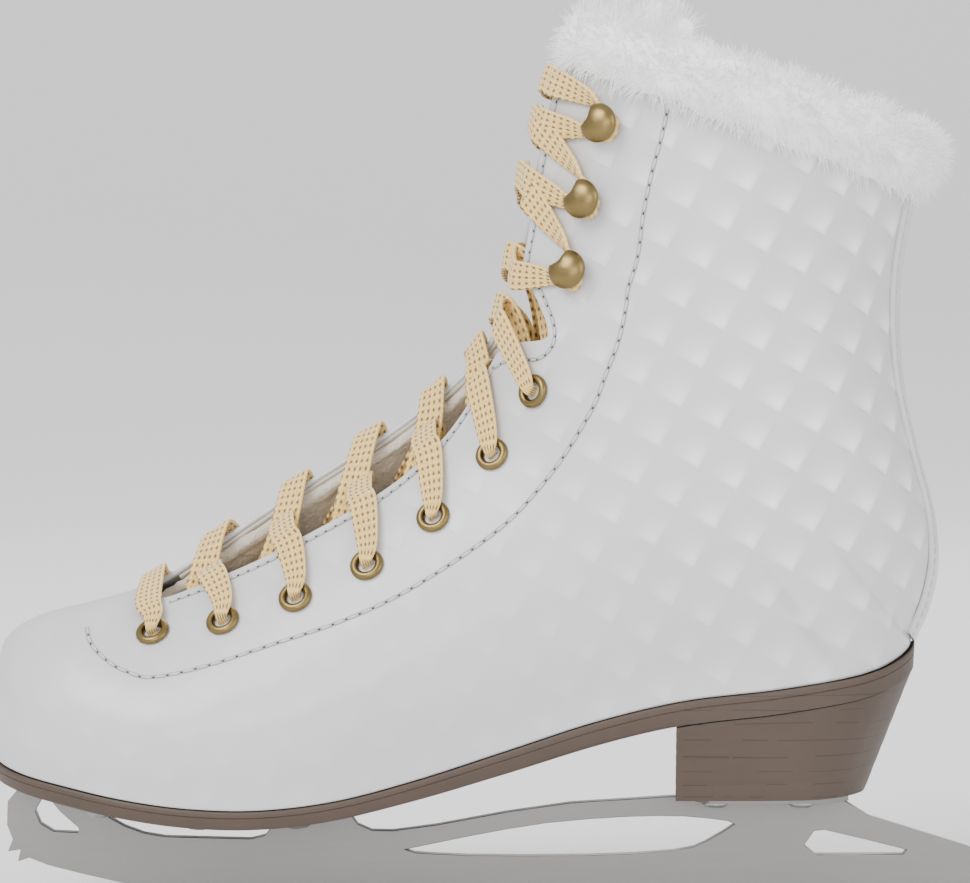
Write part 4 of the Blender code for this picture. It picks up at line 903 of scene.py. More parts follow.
def emboss_places(points, side):
    """Pattern coordinates in squares, unrolled round the back of the boot, and the emboss's strength, which
    scales both its bump and its painted highlight.
    """
    u = points[..., 0].copy()
    v = points[..., 2]
    across = np.linalg.norm(np.diff(points[..., :2], axis=1), axis=2)
    middle = points.shape[1] // 2
    for c in range(middle - 1, -1, -1):
        weight = np.clip((points[:, c, 0] - 70) / 25, 0, 1) * np.clip((v[:, c] - 74) / 10, 0, 1)
        u[:, c] = u[:, c + 1] + (points[:, c, 0] - points[:, c + 1, 0]) * (1 - weight) + across[:, c] * weight
    a = (u * math.cos(CELL_TURN) - v * math.sin(CELL_TURN)) / CELL + 40.2
    b = -(u * math.sin(CELL_TURN) + v * math.cos(CELL_TURN)) / CELL + 40.35
    # The strength, and with it the painted highlight, grows toward the heel and up the boot.
    strength = 0.25 + 0.75 * np.clip((u - 5) / 60, 0, 1)
    strength *= 0.35 + 0.65 * np.clip((v - 75) / 40, 0, 1)
    return np.stack([a, b, strength], -1)


def settle(grid, stations):
    """Soften the surface along the stations where the heel's feather line meets its back."""
    weight = np.array([ramp(17.5, 18.6, s) * (1 - ramp(21.0, 22.5, s)) for s in stations])[:, None, None]
    grid = grid.copy()
    for _ in range(14):
        middle = grid.copy()
        middle[1:-1, 2:] = (grid[:-2, 2:] + grid[2:, 2:]) / 2
        grid = grid + (middle - grid) * weight * 0.5
    return grid


def make_upper(finish):
    stations = np.unique(np.round(np.concatenate([
        np.linspace(0, 0.6, 7), np.arange(0.7, 5.9, 0.13), np.linspace(5.86, 6.3, 12),
        np.arange(6.4, 12.8, 0.1),
        np.arange(12.8, 13.95, 0.03), np.arange(14.0, UPPER_TOP, 0.15), [UPPER_TOP]]), 4))
    shares = np.concatenate([np.linspace(0, 0.08, 4), np.linspace(0.12, 1.0, 27)])
    parts = []
    for side in (LATERAL, MEDIAL):
        points, outs = skin_grid(stations, shares, side, edge_at(side), 0.0, 3)
        points, outs = settle(points, stations), unit(settle(outs, stations))
        places = emboss_places(points, side)
        open_edge = np.array([ramp(THROAT_BASE, 6.3, s) for s in stations])[:, None]
        away = unit(points[:, -1] - points[:, -2])
        columns = [points[:, i] for i in range(points.shape[1])]
        for ahead, down in ((0.35, 0.12), (0.55, 0.5), (0.55, 1.1), (0.3, 1.5), (-1.0, 1.6), (-8.0, 1.6)):
            columns.append(points[:, -1] + away * ahead * open_edge - outs[:, -1] * down)
        columns.insert(0, points[:, 0] - outs[:, 0] * 1.6)
        grid = np.stack(columns, 1)
        value = np.concatenate([places[:, :1], places] + [places[:, -1:]] * 6, 1)
        faces = quads(*grid.shape[:2])
        parts.append((grid, faces if side == LATERAL else faces[:, ::-1], {"emboss": value}))
    points, faces, values = merged(parts)
    mesh_object("boot_upper", points, faces, finish, "boot", "upper", values)


def make_lining(finish):
    stations = np.unique(np.round(np.concatenate([
        np.linspace(0, 0.9, 4), np.arange(1.2, 5.8, 0.4), np.linspace(5.9, 6.3, 8), np.arange(6.5, 12.8, 0.2),
        np.arange(12.8, 13.95, 0.06), np.arange(14.1, UPPER_TOP, 0.3), [UPPER_TOP]]), 4))
    shares = np.linspace(0, 1.0, 22)
    top = UPPER + STIFFENER + 2 * GAP
    parts = []
    for side in (LATERAL, MEDIAL):
        points, outs = skin_grid(stations, shares, side, edge_at(side, 0.3), -top - LINING, 3)
        open_edge = np.array([ramp(THROAT_BASE, 6.3, s) for s in stations])[:, None]
        away = unit(points[:, -1] - points[:, -2])
        wobble = RNG.normal(0, 1, points.shape[:2])
        wobble = (wobble + np.roll(wobble, 1, 0) + np.roll(wobble, 1, 1)) * 0.16
        points = points + outs * wobble[..., None]
        columns = [points[:, i] for i in range(points.shape[1])]
        for ahead, up in ((0.7, 0.5), (1.0, 1.3), (0.9, 2.2), (0.4, LINING - 0.1), (-4.0, LINING)):
            rag = RNG.normal(0, 0.22, (len(stations), 1))
            columns.append(points[:, -1] + away * (ahead + rag) * open_edge + outs[:, -1] * up)
        grid = np.stack(columns, 1)
        faces = quads(*grid.shape[:2])
        parts.append((grid, faces[:, ::-1] if side == LATERAL else faces, {}))
    points, faces, _ = merged(parts)
    made = mesh_object("fleece_lining", points, faces, finish, "boot", "lining")


def make_backstay(finish):
    stations = np.arange(19.25, COLLAR + 0.1, 0.2)
    parts = []
    shares = np.linspace(0, 0.1, 6)
    for side in (LATERAL, MEDIAL):
        points, outs = skin_grid(stations, shares, side, lambda s, k=side: throat(s, k), GAP + BACKSTAY, 2)
        away = unit(points[:, -1] - points[:, -2])
        columns = [points[:, i] for i in range(points.shape[1])]
        for ahead, down in ((0.25, 0.15), (0.35, 0.6), (0.3, 1.3)):
            columns.append(points[:, -1] + away * ahead - outs[:, -1] * down)
        grid = np.stack(columns, 1)
        value = np.zeros(grid.shape)
        faces = quads(*grid.shape[:2])
        parts.append((grid, faces if side == LATERAL else faces[:, ::-1], {"emboss": value}))
    points, faces, values = merged(parts)
    mesh_object("back_stay", points, faces, finish, "boot", "backstay", values)


def make_hidden_layer(name, node, finish, stations, low, high, side=None):
    """A thin layer between the upper and the lining, from share low to share high."""
    top = UPPER + GAP + 0.15
    parts = []
    for which in (LATERAL, MEDIAL) if side is None else (side,):
        shares = np.linspace(low, high, 8)
        points, outs = skin_grid(stations, shares, which, edge_at(which, -0.35), -top, 2)
        points, outs = settle(points, stations), unit(settle(outs, stations))
        inner = points - outs * (STIFFENER - 0.3)
        grid = np.concatenate([points, inner[:, ::-1]], 1)
        faces = quads(*grid.shape[:2], around_columns=True)
        parts.append((grid, faces if which == LATERAL else faces[:, ::-1], {}))
    p, f, _ = merged(parts)
    mesh_object(name, p, f, finish, "boot", node)


def capsules(places, ways, outs, long, thick):
    """Small rounded stitches: a place, the way it runs and the way up, for each."""
    rings, sides = 5, 6
    f = np.linspace(-1, 1, rings)
    radius = np.sqrt(np.maximum(1 - f**4, 0.08)) * thick / 2
    turn = np.arange(sides) * 2 * math.pi / sides
    across = unit(np.cross(ways, outs))
    n = len(places)
    grid = np.zeros((n, rings, sides, 3))
    for i in range(rings):
        for j in range(sides):
            lift = math.sin(turn[j]) * radius[i] * 0.8
            beside = math.cos(turn[j]) * radius[i]
            grid[:, i, j] = places + ways * (f[i] * long / 2) + across * beside + outs * lift
    one = quads(rings, sides, around_columns=True)
    faces = (one[None] + (np.arange(n) * rings * sides)[:, None, None]).reshape(-1, 4)
    return grid.reshape(-1, 3), faces


def path_places(path, side, pitch, height):
    """Evenly spaced places along (station, arc) points on the boot, with their directions."""
    fine = refine(np.array(path), 12, 0)
    points = np.array([over(s, side * q, height) for s, q in fine])
    length = np.concatenate([[0], np.cumsum(np.linalg.norm(np.diff(points, axis=0), axis=1))])
    count = max(int(length[-1] / pitch), 1)
    at = (np.arange(count) + 0.5) * length[-1] / count
    places = np.stack([np.interp(at, length, points[:, k]) for k in range(3)], 1)
    ahead = np.stack([np.interp(at + 0.4, length, points[:, k]) for k in range(3)], 1)
    behind = np.stack([np.interp(at - 0.4, length, points[:, k]) for k in range(3)], 1)
    ss, qs = np.interp(at, length, fine[:, 0]), np.interp(at, length, fine[:, 1])
    outs = np.array([over(s, side * q, 1.0) - over(s, side * q, 0.0) for s, q in zip(ss, qs)])
    return places, unit(ahead - behind), unit(outs)


def groove(path, side):
    """A narrow flat strip along a row of stitches, which carries painted shade where the thread draws the
    leather in.
    """
    fine = refine(np.array(path), 8, 0)
    step = np.gradient(fine, axis=0)
    rows = []
    for (s, q), (ds, dq) in zip(fine, step):
        way = over(s + ds * 0.5, side * (q + dq * 0.5)) - over(s - ds * 0.5, side * (q - dq * 0.5))
        out = over(s, side * q, 1.0) - over(s, side * q, 0.0)
        across = np.array(way.cross(out).normalized())
        middle = np.array(over(s, side * q, 0.05))
        rows.append([middle + across * w for w in (-0.62, 0.62)])
    grid = np.array(rows)
    faces = quads(*grid.shape[:2])
    return grid, faces if side == MEDIAL else faces[:, ::-1], {}


FACING_LINE = [(5.05, 22.0), (5.2, 30.0), (5.55, 38.0), (5.95, 44.5), (6.3, 49.5), (7.1, 57), (7.9, 62.5)]
FACING_LINE += [(8.65, 67.0), (9.45, 69.3), (10.35, 68.6), (11.2, 67), (12.0, 65.2), (12.85, 64.3)]
FACING_LINE += [(13.75, 63.4), (14.7, 61.5), (17.2, 59)]
FACING_LINE += [(21.45, 56.5), (24.0, 53.3), (26.3, 51), (28.7, 49)]


BAY_LINE = ((11.3, 3.0), (11.95, 8.8), (12.5, 16.0), (12.9, 21.0), (13.3, 23.6), (13.6, 23.6), (13.82, 20.5))
BAY_LINE += ((13.96, 13.0), (14.02, 4.0))


def edge_line(side):
    """Two and a half millimetres behind the facing's edge, round the bay at the ankle too."""
    line = [(s, throat(s, side) + 2.6) for s in np.arange(6.35, 11.2, 0.25)]
    line += [(s, throat(s, side) + more) for s, more in BAY_LINE]
    return line + [(s, throat(s, side) + 2.6) for s in np.arange(14.4, 28.8, 0.4)]


def make_stitches(thread, shade, seam_shade_finish):
    parts, holes, seam_shade_strips = [], [], []
    for side in (LATERAL, MEDIAL):
        for path, pitch, long, thick in ((FACING_LINE, 3.9, 3.0, 0.85), (edge_line(side), 3.0, 2.3, 0.6)):
            places, ways, outs = path_places(path, side, pitch, 0.15)
            seam_shade_strips.append(groove(path, side))
            p, f = capsules(places, ways, outs, long, thick)
            parts.append((p, f, {}))
            p, f = capsules(places + ways * pitch / 2 - outs * 0.10, ways, outs, 0.75, 0.55)
            holes.append((p, f, {}))
    for share in (0.088,):
        for side in (LATERAL, MEDIAL):
            path = []
            for s in np.arange(19.6, COLLAR, 0.5):
                last = from_crest(s, side, throat(s, side))
                table = arcs(s, side)
                t = share * last
                q = np.interp(-t, [-b for _, b in table], [a for a, _ in table])
                path.append((s, q))
            places, ways, outs = path_places(path, side, 3.0, GAP + BACKSTAY + 0.1)
            p, f = capsules(places, ways, outs, 2.1, 0.5)
            parts.append((p, f, {}))
    p, f, _ = merged(parts)
    mesh_object("stitching", p, f, thread, "boot")
    p, f, _ = merged(holes)
    mesh_object("needle_holes", p, f, shade, "boot")
    # Mid-grey strips under the stitch rows: painted shade of the sunken seam lines.
    p, f, _ = merged(seam_shade_strips)
    mesh_object("stitch_line_painted_shade", p, f, seam_shade_finish, "boot")


def strands(roots, ways, lengths, droop, radius, rings=3):
    """Tapering curved hairs: three-sided, each with its root, direction, length and droop."""
    n = len(roots)
    ways = unit(ways)
    side = unit(np.cross(ways, RNG.normal(0, 1, (n, 3))))
    other = np.cross(ways, side)
    grid = np.zeros((n, rings + 1, 3, 3))
    for i in range(rings + 1):
        f = i / rings
        centre = roots + ways * (lengths * f)[:, None] + droop * (lengths * f * f)[:, None]
        r = (radius * (1 - 0.86 * f))[:, None]
        for j in range(3):
            turn = 2 * math.pi * j / 3
            grid[:, i, j] = centre + (side * math.cos(turn) + other * math.sin(turn)) * r
    one = quads(rings + 1, 3, around_columns=True)
    faces = (one[None] + (np.arange(n) * (rings + 1) * 3)[:, None, None]).reshape(-1, 4)
    return grid.reshape(-1, 3), faces


def furry(name, grid, outward, finish, body, node, count, long, radius, down, around=True):
    """A soft core with hairs all over it. grid is rows round the piece by columns along its length."""
    rows, columns = grid.shape[:2]
    bumpy = RNG.normal(0, 1, (rows // 3 + 2, columns // 3 + 2))
    coarse = refine(refine(bumpy, 3, 0), 3, 1)[:rows, :columns]
    core = grid + outward * (coarse[..., None] * 0.55 - 0.8)
    parts = [(core, quads(rows, columns, around_columns=around), {})]
    for end in (0, -1):
        middle = core[end].mean(0)
        ring = core[end]
        extra = np.stack([ring, ring * 0.5 + middle * 0.5, np.repeat(middle[None], columns, 0)])
        faces = quads(3, columns, around_columns=around)
        parts.append((extra, faces if end == 0 else faces[:, ::-1], {}))
    area = np.linalg.norm(np.cross(np.diff(grid, axis=0)[:, :-1], np.diff(grid, axis=1)[:-1]), axis=-1)
    chance = (area / area.sum()).ravel()
    pick = RNG.choice(len(chance), count, p=chance)
    r, c = pick // (columns - 1), pick % (columns - 1)
    fr, fc = RNG.random((2, count, 1))

    def at(a):
        low = a[r, c] * (1 - fc) + a[r, c + 1] * fc
        high = a[r + 1, c] * (1 - fc) + a[r + 1, c + 1] * fc
        return low * (1 - fr) + high * fr

    roots, ways = at(core), unit(at(outward))
    clump = RNG.normal(0, 1, (rows // 2 + 2, columns // 2 + 2, 3))
    swirl = refine(refine(clump, 2, 0), 2, 1)[:rows, :columns]
    ways = unit(ways + at(swirl) * 0.42 + RNG.normal(0, 0.28, (count, 3)) + np.array(down) * 0.5)
    lengths = long * RNG.uniform(0.55, 1.1, count)
    droop = np.array(down)[None] * RNG.uniform(0.2, 0.7, (count, 1)) + RNG.normal(0, 0.12, (count, 3))
    p, f = strands(roots, ways, lengths, droop, np.full(count, radius))
    parts.append((p, f, {}))
    p, f, _ = merged(parts)
    made = mesh_object(name, p, f, finish, body, node)


def make_collar(finish):
    inside = -UPPER - STIFFENER - 2 * GAP - LINING - GAP
    profile = [(28.55, 1.2), (28.9, 3.0), (29.4, 4.6), (29.9, 5.0), (30.35, 3.6), (30.6, 0.0)]
    profile += [(30.6, -4.2), (30.3, -8.4)]
    profile += [(29.9, -10.2), (29.4, -10.0), (28.9, inside - 1.6), (28.6, inside), (28.6, -3.0)]
    rows, outs = [], []
    shares = np.linspace(0.975, 0.0, 30)
    stops = [(LATERAL, t) for t in shares] + [(MEDIAL, t) for t in np.linspace(0.0, 0.975, 30)[1:]]
    for side, t in stops:
        ring = []
        for s, height in profile:
            high = from_crest(min(s, UPPER_TOP), side, throat(min(s, UPPER_TOP), side))
            ring.append(skin(s, side, t * high, height))
        ring = np.array(ring)
        rows.append(refine(np.concatenate([ring, ring[:1]]), 2, 0)[:-1])
        outs.append(unit(rows[-1] - rows[-1].mean(0)))
    grid = refine(np.array(rows), 2, 0)
    outward = unit(refine(np.array(outs), 2, 0))
    furry("fur_collar", grid, outward, finish, "boot", "collar_fur", 15000, 4.6, 0.21, (0.0, 0.0, -0.35))


def tongue_grid(top, fine=3):
    stations = np.concatenate([np.arange(6.3, 13.0, 0.35), np.arange(13.0, 28.4, 0.6), [28.4]])
    rows, outs = [], []
    for s in stations:
        row, way = [], []
        for f in np.linspace(-1, 1, 15):
            swell = 1.6 * ramp(6.6, 7.6, s) * (1 - ramp(10.6, 12.0, s)) * (1 - f * f)
            row.append(tongue_point(s, f, swell - top))
            way.append(tongue_point(s, f, swell - top + 1.0) - row[-1])
        rows.append(row)
        outs.append(way)
    return refine(np.array(rows), fine, 1), unit(refine(np.array(outs), fine, 1))


def make_tongue(cover, pile, fluff):
    for name, node, finish, top, thick, slot in (
        ("tongue_face", "tongue_cover", cover, 0.0, TONGUE_COVER, "satin"),
        ("tongue_fleece", "tongue_lining", pile, TONGUE_COVER + GAP, TONGUE_PILE, "fleece"),
    ):
        grid, outs = tongue_grid(top)
        quilt = np.sin(np.linspace(-1, 1, grid.shape[1]) * math.pi * 2.5)[None] * 0.18
        wave = RNG.normal(0, 1, (grid.shape[0] // 3 + 2, grid.shape[1] // 4 + 2))
        wave = refine(refine(wave, 3, 0), 4, 1)[: grid.shape[0], : grid.shape[1]] * 0.16
        outer = grid + outs * (quilt + wave - 0.2)[..., None]
        inner = grid - outs * thick
        ring = np.concatenate([outer, inner[:, ::-1]], 1)
        points = np.concatenate([outer[:1] * 0.5 + inner[:1] * 0.5, outer[-1:] * 0.5 + inner[-1:] * 0.5])
        faces = quads(*ring.shape[:2], around_columns=True)
        caps = []
        for row, whole in ((0, points[0]), (-1, points[1])):
            lid = np.stack([outer[row], whole, inner[row]])
            caps.append((lid, quads(*lid.shape[:2]), {}))
        p, f, _ = merged([(ring, faces, {})] + caps)
        made = mesh_object(name, p, f, finish, "tongue", node)
    last = 28.4
    up = np.array((over(last, 0.0) - over(last - 0.6, 0.0)).normalized())
    out = np.array(normal(last, LATERAL, 1.0))
    profile = ((1.2, 0.5), (3.4, 2.6), (16.0, 3.4), (TUFT - 4, 1.6), (TUFT - 1, -2.0), (TUFT - 3, -7.5))
    profile += ((9.0, -8.6), (3.0, -7.0))
    rows, outs = [], []
    for f in np.linspace(-1.0, 1.0, 18):
        foot = np.array(tongue_point(last, f, 0.0))
        proud = 1 - ramp(0.2, 0.5, abs(f))
        ring = []
        for rise, height in profile:
            away = height * proud if height > 0 else height * (0.6 + 0.4 * proud)
            ring.append(foot + up * (rise * (1 - 0.16 * f * f)) + out * away)
        ring = np.array(ring)
        rows.append(refine(np.concatenate([ring, ring[:1]]), 2, 0)[:-1])
        outs.append(unit(rows[-1] - rows[-1].mean(0)))
    grid = refine(np.array(rows), 2, 0)
    outward = unit(refine(np.array(outs), 2, 0))
    droop = tuple(up * 0.5)
    furry("tongue_top_fur", grid, outward, fluff, "tongue", "tongue_fur", 7000, 4.2, 0.21, droop)


# ------------------------------------------------------------------------------------------------
# Lacing


def turned_grid(profile, frame, sides, radius_at=None):
    rows = []
    for level, (radius, height) in enumerate(profile):
        row = []
        for i in range(sides):
            angle = 2 * math.pi * i / sides
            r = max(radius if radius_at is None else radius_at(level, angle, radius, height), 0.001)
            row.append(frame @ Vector((r * math.cos(angle), r * math.sin(angle), height)))
        rows.append(row)
    return np.array(rows)


def make_eyelets(finish, dark):
    through = UPPER + STIFFENER + LINING + 2 * GAP
    low = -through - 2 * GAP
    wall = EYELET_BORE + EYELET_WALL
    seat = 0.5
    profile = [(2.45, low - 0.8), (2.45, -1.0), (2.42, 0.4), (2.5, 0.95), (2.75, 1.32), (3.1, 1.55)]
    profile += [(3.55, 1.62)]
    profile += [(4.05, 1.5), (4.45, 1.2), (4.68, 0.85), (4.75, 0.45), (4.65, 0.05), (4.3, -0.1), (wall, -0.1)]
    profile += [(wall, low - 0.2), (wall + 0.9, low - 0.6), (wall + 0.7, low - 0.85)]
    for side, word in ((LATERAL, "lateral"), (MEDIAL, "medial")):
        for i, (s, inset) in enumerate(EYELETS):
            frame = facing_frame(*lace_place(s, side, inset))
            lift = seat * 0.4
            grid = turned_grid([(r, h + lift) for r, h in profile], frame, 36)
            faces = quads(*grid.shape[:2], around_rows=True, around_columns=True)
            mesh_object("eyelet_ring_%s_%d" % (word, i + 1), grid, faces, finish, "boot",
                        "eyelet_%s_%d" % (word, i + 1), sharp=50)


def make_hooks(finish):
    through = UPPER + STIFFENER + LINING + 2 * GAP
    bite, away = 4.4, 7.4

    def radius_at(level, angle, radius, height):
        if height < 4.0:
            return radius
        reach = away * math.cos(angle)
        room = bite * bite - (away * math.sin(angle)) ** 2
        if reach > 0 and room > 0:
            return min(radius, max(reach - math.sqrt(room), 0.0) * (0.97 if height > 5 else 1.0))
        return radius

    low = -through - 2 * GAP
    profile = [(0.0, low - 0.9), (3.2, low - 0.9), (HOOK_NECK, low - 0.2), (HOOK_NECK, 0.15)]
    profile += [(3.3, 0.2), (3.4, 0.45), (3.2, 0.7), (HOOK_NECK + 0.2, 1.0)]
    profile += [(HOOK_NECK, 1.6), (HOOK_NECK, 3.5)]
    profile += [(3.4, 4.05), (4.9, 4.3), (5.3, 4.5), (5.42, 4.8), (5.34, 5.15), (5.05, 5.6), (4.5, 6.15)]
    profile += [(3.7, 6.65), (2.6, 7.08), (1.3, 7.32)]
    profile += [(0.0, 7.4)]
    for side, word in ((LATERAL, "lateral"), (MEDIAL, "medial")):
        for i, (s, inset) in enumerate(HOOKS):
            frame = facing_frame(*lace_place(s, side, inset))
            grid = turned_grid(profile, frame, 60, radius_at)
            faces = quads(*grid.shape[:2], around_columns=True)
            mesh_object("lace_hook_%s_%d" % (word, i + 1), grid, faces, finish, "boot",
                        "hook_%s_%d" % (word, i + 1), sharp=45)


def make_lace(finish):
    ribbon = Ribbon()
    level = LACE_THICK / 2 + 0.45
    lace_half(ribbon, LATERAL, level)
    ribbon.stops.reverse()
    base, inset = EYELETS[0]
    bar = THROAT_BASE + 0.12
    ribbon.go(bar, LATERAL * throat(base, LATERAL) * 1.15, OVER_FACING + 0.4, 7.5)
    ribbon.go(bar, 0.0, OVER_FACING + 0.7, 7.5)
    ribbon.go(bar, MEDIAL * (throat(base, MEDIAL) + 4.0), OVER_FACING + 0.4, 7.5)
    lace_half(ribbon, MEDIAL, -level)
    centre = np.array([stop[0] for stop in ribbon.stops])
    across = np.array([stop[1] for stop in ribbon.stops])
    for i in range(1, len(across)):
        if np.dot(across[i], across[i - 1]) < 0:
            across[i] = -across[i]
    size = np.array([stop[2:] for stop in ribbon.stops])
    n = 7
    centre, across, size = refine(centre, n, 0), refine(across, n, 0), refine(size, n, 0)
    kernel = np.array([1, 2, 3, 2, 1]) / 9
    for _ in range(2):
        for k in range(3):
            centre[2:-2, k] = np.convolve(centre[:, k], kernel, "valid")
    run = unit(np.gradient(centre, axis=0))
    across = unit(across - run * (across * run).sum(1, keepdims=True))
    flat = np.cross(run, across)
    length = np.concatenate([[0], np.cumsum(np.linalg.norm(np.diff(centre, axis=0), axis=1))])
    shape = [(x, 1.0) for x in np.linspace(-0.94, 0.94, 13)] + [(1.0, 0.55), (1.0, -0.55)]
    shape += [(x, -1.0) for x in np.linspace(0.94, -0.94, 13)] + [(-1.0, -0.55), (-1.0, 0.55)]
    points, weave = [], []
    for x, y in shape:
        swell = 1.0 - 0.25 * abs(x) ** 4
        fold = 0.12 * np.sin(length / 9.0 + x * 2.0) * (size[:, 0] / 8)
        lift = y * swell * size[:, 1:] / 2 + fold[:, None]
        points.append(centre + across * (x * size[:, :1] / 2) + flat * lift)
        weave.append(np.stack([length, x * 4.0 * np.ones_like(length), 0 * length], 1))
    grid = np.stack(points, 1)
    faces = quads(*grid.shape[:2], around_columns=True)
    mesh_object("flat_lace", grid, faces, finish, "boot", "lace", {"weave": np.stack(weave, 1)})
    return length[-1]


# ------------------------------------------------------------------------------------------------
# Sole, heel and blade


def ring_piece(name, loops, finish, node, outlined, sharp=40):
    """A solid of stacked closed loops of equal length, capped at its ends."""
    grid = np.array(loops)
    parts = [(grid, quads(*grid.shape[:2], around_columns=True), {})]
    half = outlined // 2
    for row in (0, -1):
        ring = grid[row]
        near, far = ring[:half], ring[half:outlined][::-1]
        lid = np.stack([near + (far - near) * f for f in np.linspace(0, 1, 7)])
        parts.append((lid, quads(*lid.shape[:2]), {}))
    p, f, _ = merged(parts)
    return mesh_object(name, p, f, finish, "boot", node, sharp=sharp)


SOLE_PROFILE = ((0.0, 0.3), (0.06, 0.05), (0.14, 0.0), (0.3, 0.0), (0.335, 0.2), (0.37, 0.0))
SOLE_PROFILE += ((0.8, 0.2), (0.93, 0.35), (1.0, 0.9))


def make_sole(finish):
    stations = np.unique(np.concatenate([np.linspace(0, 1, 9), np.arange(1.15, 20.0, 0.15), [20.0]]))
    loops = []
    for f, inward in SOLE_PROFILE:
        loop = []
        for side, order in ((LATERAL, stations), (MEDIAL, stations[::-1])):
            for s in order:
                seated = ramp(heel_first() - 0.2, heel_first() + 0.2, s) * (f > 0.5)
                edge = outline(s, side, WELT - inward * (1 - seated) - 0.35 * f)
                loop.append(edge + Vector((0, 0, -GAP * (1 - 0.8 * f) - f * sole_depth(s))))
        loops.append(loop)
    ring_piece("brown_sole", loops, finish, "outsole", len(loops[0]))


def heel_loops(low, high, count, groove):
    stations = [heel_first()] + list(np.arange(heel_first() + 0.15, 20.0, 0.15)) + [20.0]
    loops = []
    for k in range(count * 3 + 1):
        level = low + (high - low) * k / (count * 3)
        inward = groove if k % 3 == 0 and 0 < k < count * 3 else (0.1 if k in (0, count * 3) else 0.0)
        loop = []
        for side, order in ((LATERAL, stations), (MEDIAL, stations[::-1])):
            for s in order:
                p = heel_point(s, side, level)
                middle = Vector((82.0, 0.0, p.z))
                set_back = 3.2 * (1 - ramp(heel_first(), heel_first() + 1.5, s)) * (side == MEDIAL)
                loop.append(p + (middle - p).normalized() * inward + Vector((set_back, 0, 0)))
        first, last = loop[-1], loop[0]
        for f in np.linspace(0, 1, 12)[1:-1]:
            loop.append(first.lerp(last, f) + Vector((HEEL_BREAST_CURVE * 4 * f * (1 - f), 0, 0)))
        loops.append(loop)
    return loops


def make_heel(finish):
    height = 0.5 * (sole_under(60.0) + sole_under(100.0)) - HEEL_BASE
    seam = 1 - HEEL_TOP_PIECE / height
    for name, node, low, high, count in (
        ("stacked_heel", "heel_block", -2 * GAP / height, seam - 0.2 * GAP / height, 5),
        ("heel_lift", "heel_top_piece", seam - 0.5 * GAP / height, 1.0, 1),
    ):
        loops = heel_loops(low, high, count, 0.07)
        ring_piece(name, loops, finish, node, len(loops[0]) - 10)


def rounded_copy(node, name, finish, width, body="boot"):
    """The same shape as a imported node, with its edges rounded."""
    mesh = frame["nodes"][node].data.copy()
    made = bpy.data.objects.new(name, mesh)
    bpy.context.scene.collection.objects.link(made)
    mesh.materials.clear()
    mesh.materials.append(finish)
    bm = bmesh.new()
    bm.from_mesh(mesh)
    bmesh.ops.remove_doubles(bm, verts=bm.verts, dist=1e-5)
    bmesh.ops.dissolve_limit(bm, angle_limit=math.radians(0.6), verts=bm.verts, edges=bm.edges)
    bm.to_mesh(mesh)
    bm.free()
    bevel = made.modifiers.new("edges", "BEVEL")
    bevel.width = width * MM
    bevel.segments = 2
    bevel.limit_method = "ANGLE"
    bevel.angle_limit = math.radians(40)
    bevel.harden_normals = True
    mesh.shade_smooth()
    mesh.set_sharp_from_angle(angle=math.radians(50))
    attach(made, body)
    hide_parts(node)
    return made


# ------------------------------------------------------------------------------------------------
# Stage


def area_light(name, place, aim, size, power, colour=(1, 1, 1)):
    lamp = bpy.data.lights.new(name, "AREA")
    lamp.shape = "RECTANGLE"
    lamp.size, lamp.size_y = size
    lamp.energy = power
    lamp.color = colour
    made = bpy.data.objects.new(name, lamp)
    made.location = place
    made.rotation_euler = (Vector(aim) - Vector(place)).to_track_quat("-Z", "Y").to_euler()
    bpy.context.scene.collection.objects.link(made)


def make_stage():
    scene = bpy.context.scene
    eye, aim = Vector((-0.0042, -1.1, 0.190)), Vector((-0.0042, 0.0, 0.1318))
    lens = bpy.data.cameras.new("camera")
    lens.sensor_width = 36.0
    lens.lens = 145.9
    lens.clip_end = 20.0
    camera = bpy.data.objects.new("camera", lens)
    camera.location = eye
    camera.rotation_euler = (aim - eye).to_track_quat("-Z", "Y").to_euler()
    scene.collection.objects.link(camera)
    scene.camera = camera
    world = bpy.data.worlds.new("studio")
    world.use_nodes = True
    world.node_tree.nodes["Background"].inputs[0].default_value = (1.0, 1.0, 1.0, 1.0)
    world.node_tree.nodes["Background"].inputs[1].default_value = 1.05
    scene.world = world
    area_light("key", (-0.9, -1.0, 1.3), (0, 0, 0.12), (0.9, 0.9), 27)
    area_light("front", (-0.1, -1.9, 0.5), (0, 0, 0.12), (1.2, 0.8), 12)
    area_light("fill", (1.2, -1.1, 0.7), (0, 0, 0.12), (1.0, 1.0), 9)
    area_light("back", (0.3, 1.2, 1.2), (0, 0, 0.12), (1.0, 0.8), 12)
    sweep = [(-3.0, 0.0), (0.0, 0.0), (1.5, 0.0)]
    sweep += [(1.5 + 1.5 * math.sin(a), 1.5 - 1.5 * math.cos(a)) for a in np.linspace(0, math.pi / 2, 25)[1:]]
    sweep += [(3.0, 4.0)]
    grid = np.array([[(x, y, z) for y, z in sweep] for x in (-5.0, 0.0, 5.0)])
    mesh = bpy.data.meshes.new("floor")
    mesh.from_pydata(grid.reshape(-1, 3).tolist(), [], quads(*grid.shape[:2]).tolist())
    mesh.shade_smooth()
    floor = bpy.data.objects.new("floor", mesh)
    floor.location.z = -0.0005
    pale = Finish("pale_floor", (0.86, 0.86, 0.86), 0.9)
    mesh.materials.append(pale.made)
    scene.collection.objects.link(floor)


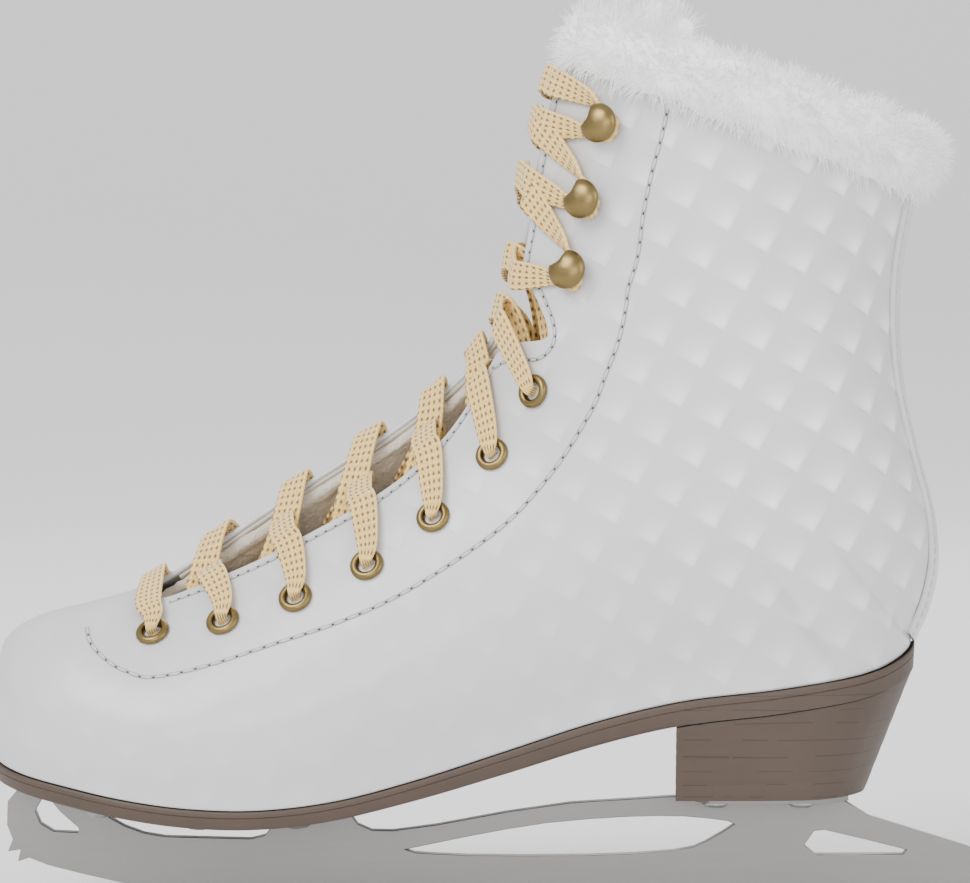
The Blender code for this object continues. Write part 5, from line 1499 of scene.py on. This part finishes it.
def main():
    make_stage()
    leather = coated_leather()
    white_fur_painted_glow = fur("white_fur_painted_glow", (0.93, 0.93, 0.925), (0.84, 0.84, 0.84))
    beige = fleece("beige_fleece", (0.78, 0.71, 0.61), (0.55, 0.49, 0.40))
    brown = moulded()
    gold = old_gold()
    steel = satin_steel("blade_steel", (0.27, 0.262, 0.255), 0.40)
    thread = plain_layer("white_thread", (0.62, 0.62, 0.62))
    shade = plain_layer("needle_shade", (0.05, 0.05, 0.05))
    # Mid grey for the strips under the stitch rows: painted shade of the sunken seam lines.
    seam_shade_finish = plain_layer("seam_painted_shade", (0.36, 0.365, 0.375), 0.03)
    board = plain_layer("fibre_board", (0.42, 0.33, 0.23))
    stiff = plain_layer("stiff_cloth", (0.62, 0.56, 0.46))
    make_upper(leather)
    make_lining(beige)
    make_backstay(leather)
    make_stitches(thread, shade, seam_shade_finish)
    make_collar(white_fur_painted_glow)
    make_tongue(satin(), beige, white_fur_painted_glow)
    make_eyelets(gold, shade)
    make_hooks(gold)
    make_lace(knitted())
    make_sole(brown)
    make_heel(brown)
    rounded_copy("blade_runner", "steel_blade", steel, 0.35)
    rounded_copy("sole_plate", "ball_plate", steel, 0.25)
    rounded_copy("heel_plate", "heel_mount_plate", steel, 0.25)
    screw = satin_steel("screw_steel", (0.42, 0.42, 0.42), 0.3)
    make_hidden_layer("toe_stiffener", "toe_puff", stiff, np.arange(0.0, 4.4, 0.25), 0.0, 1.0)
    make_hidden_layer("counter_stiffener", "heel_counter", stiff, np.arange(13.2, 24.8, 0.15), 0.0, 0.355)
    facing_rows = [np.arange(6.3, 12.8, 0.2), np.arange(12.8, 13.9, 0.06), np.arange(14.0, 26.8, 0.4)]
    facing_rows = np.concatenate(facing_rows)
    for side, word in ((LATERAL, "lateral"), (MEDIAL, "medial")):
        make_hidden_layer("facing_stay_" + word, "facing_" + word, stiff, facing_rows, 0.805, 1.0, side)
        pad_rows = np.arange(14.1, 24.8, 0.3)
        make_hidden_layer("ankle_foam_" + word, "ankle_pad_" + word, beige, pad_rows, 0.365, 0.795, side)
    looks = {"insole_board": board, "bottom_filler": board, "footbed": beige, "shank": steel}
    for node in frame["nodes"]:
        if "screw" in node:
            looks[node] = screw
    for node, finish in looks.items():
        materials = frame["nodes"][node].data.materials
        materials.clear()
        materials.append(finish)


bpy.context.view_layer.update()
main()
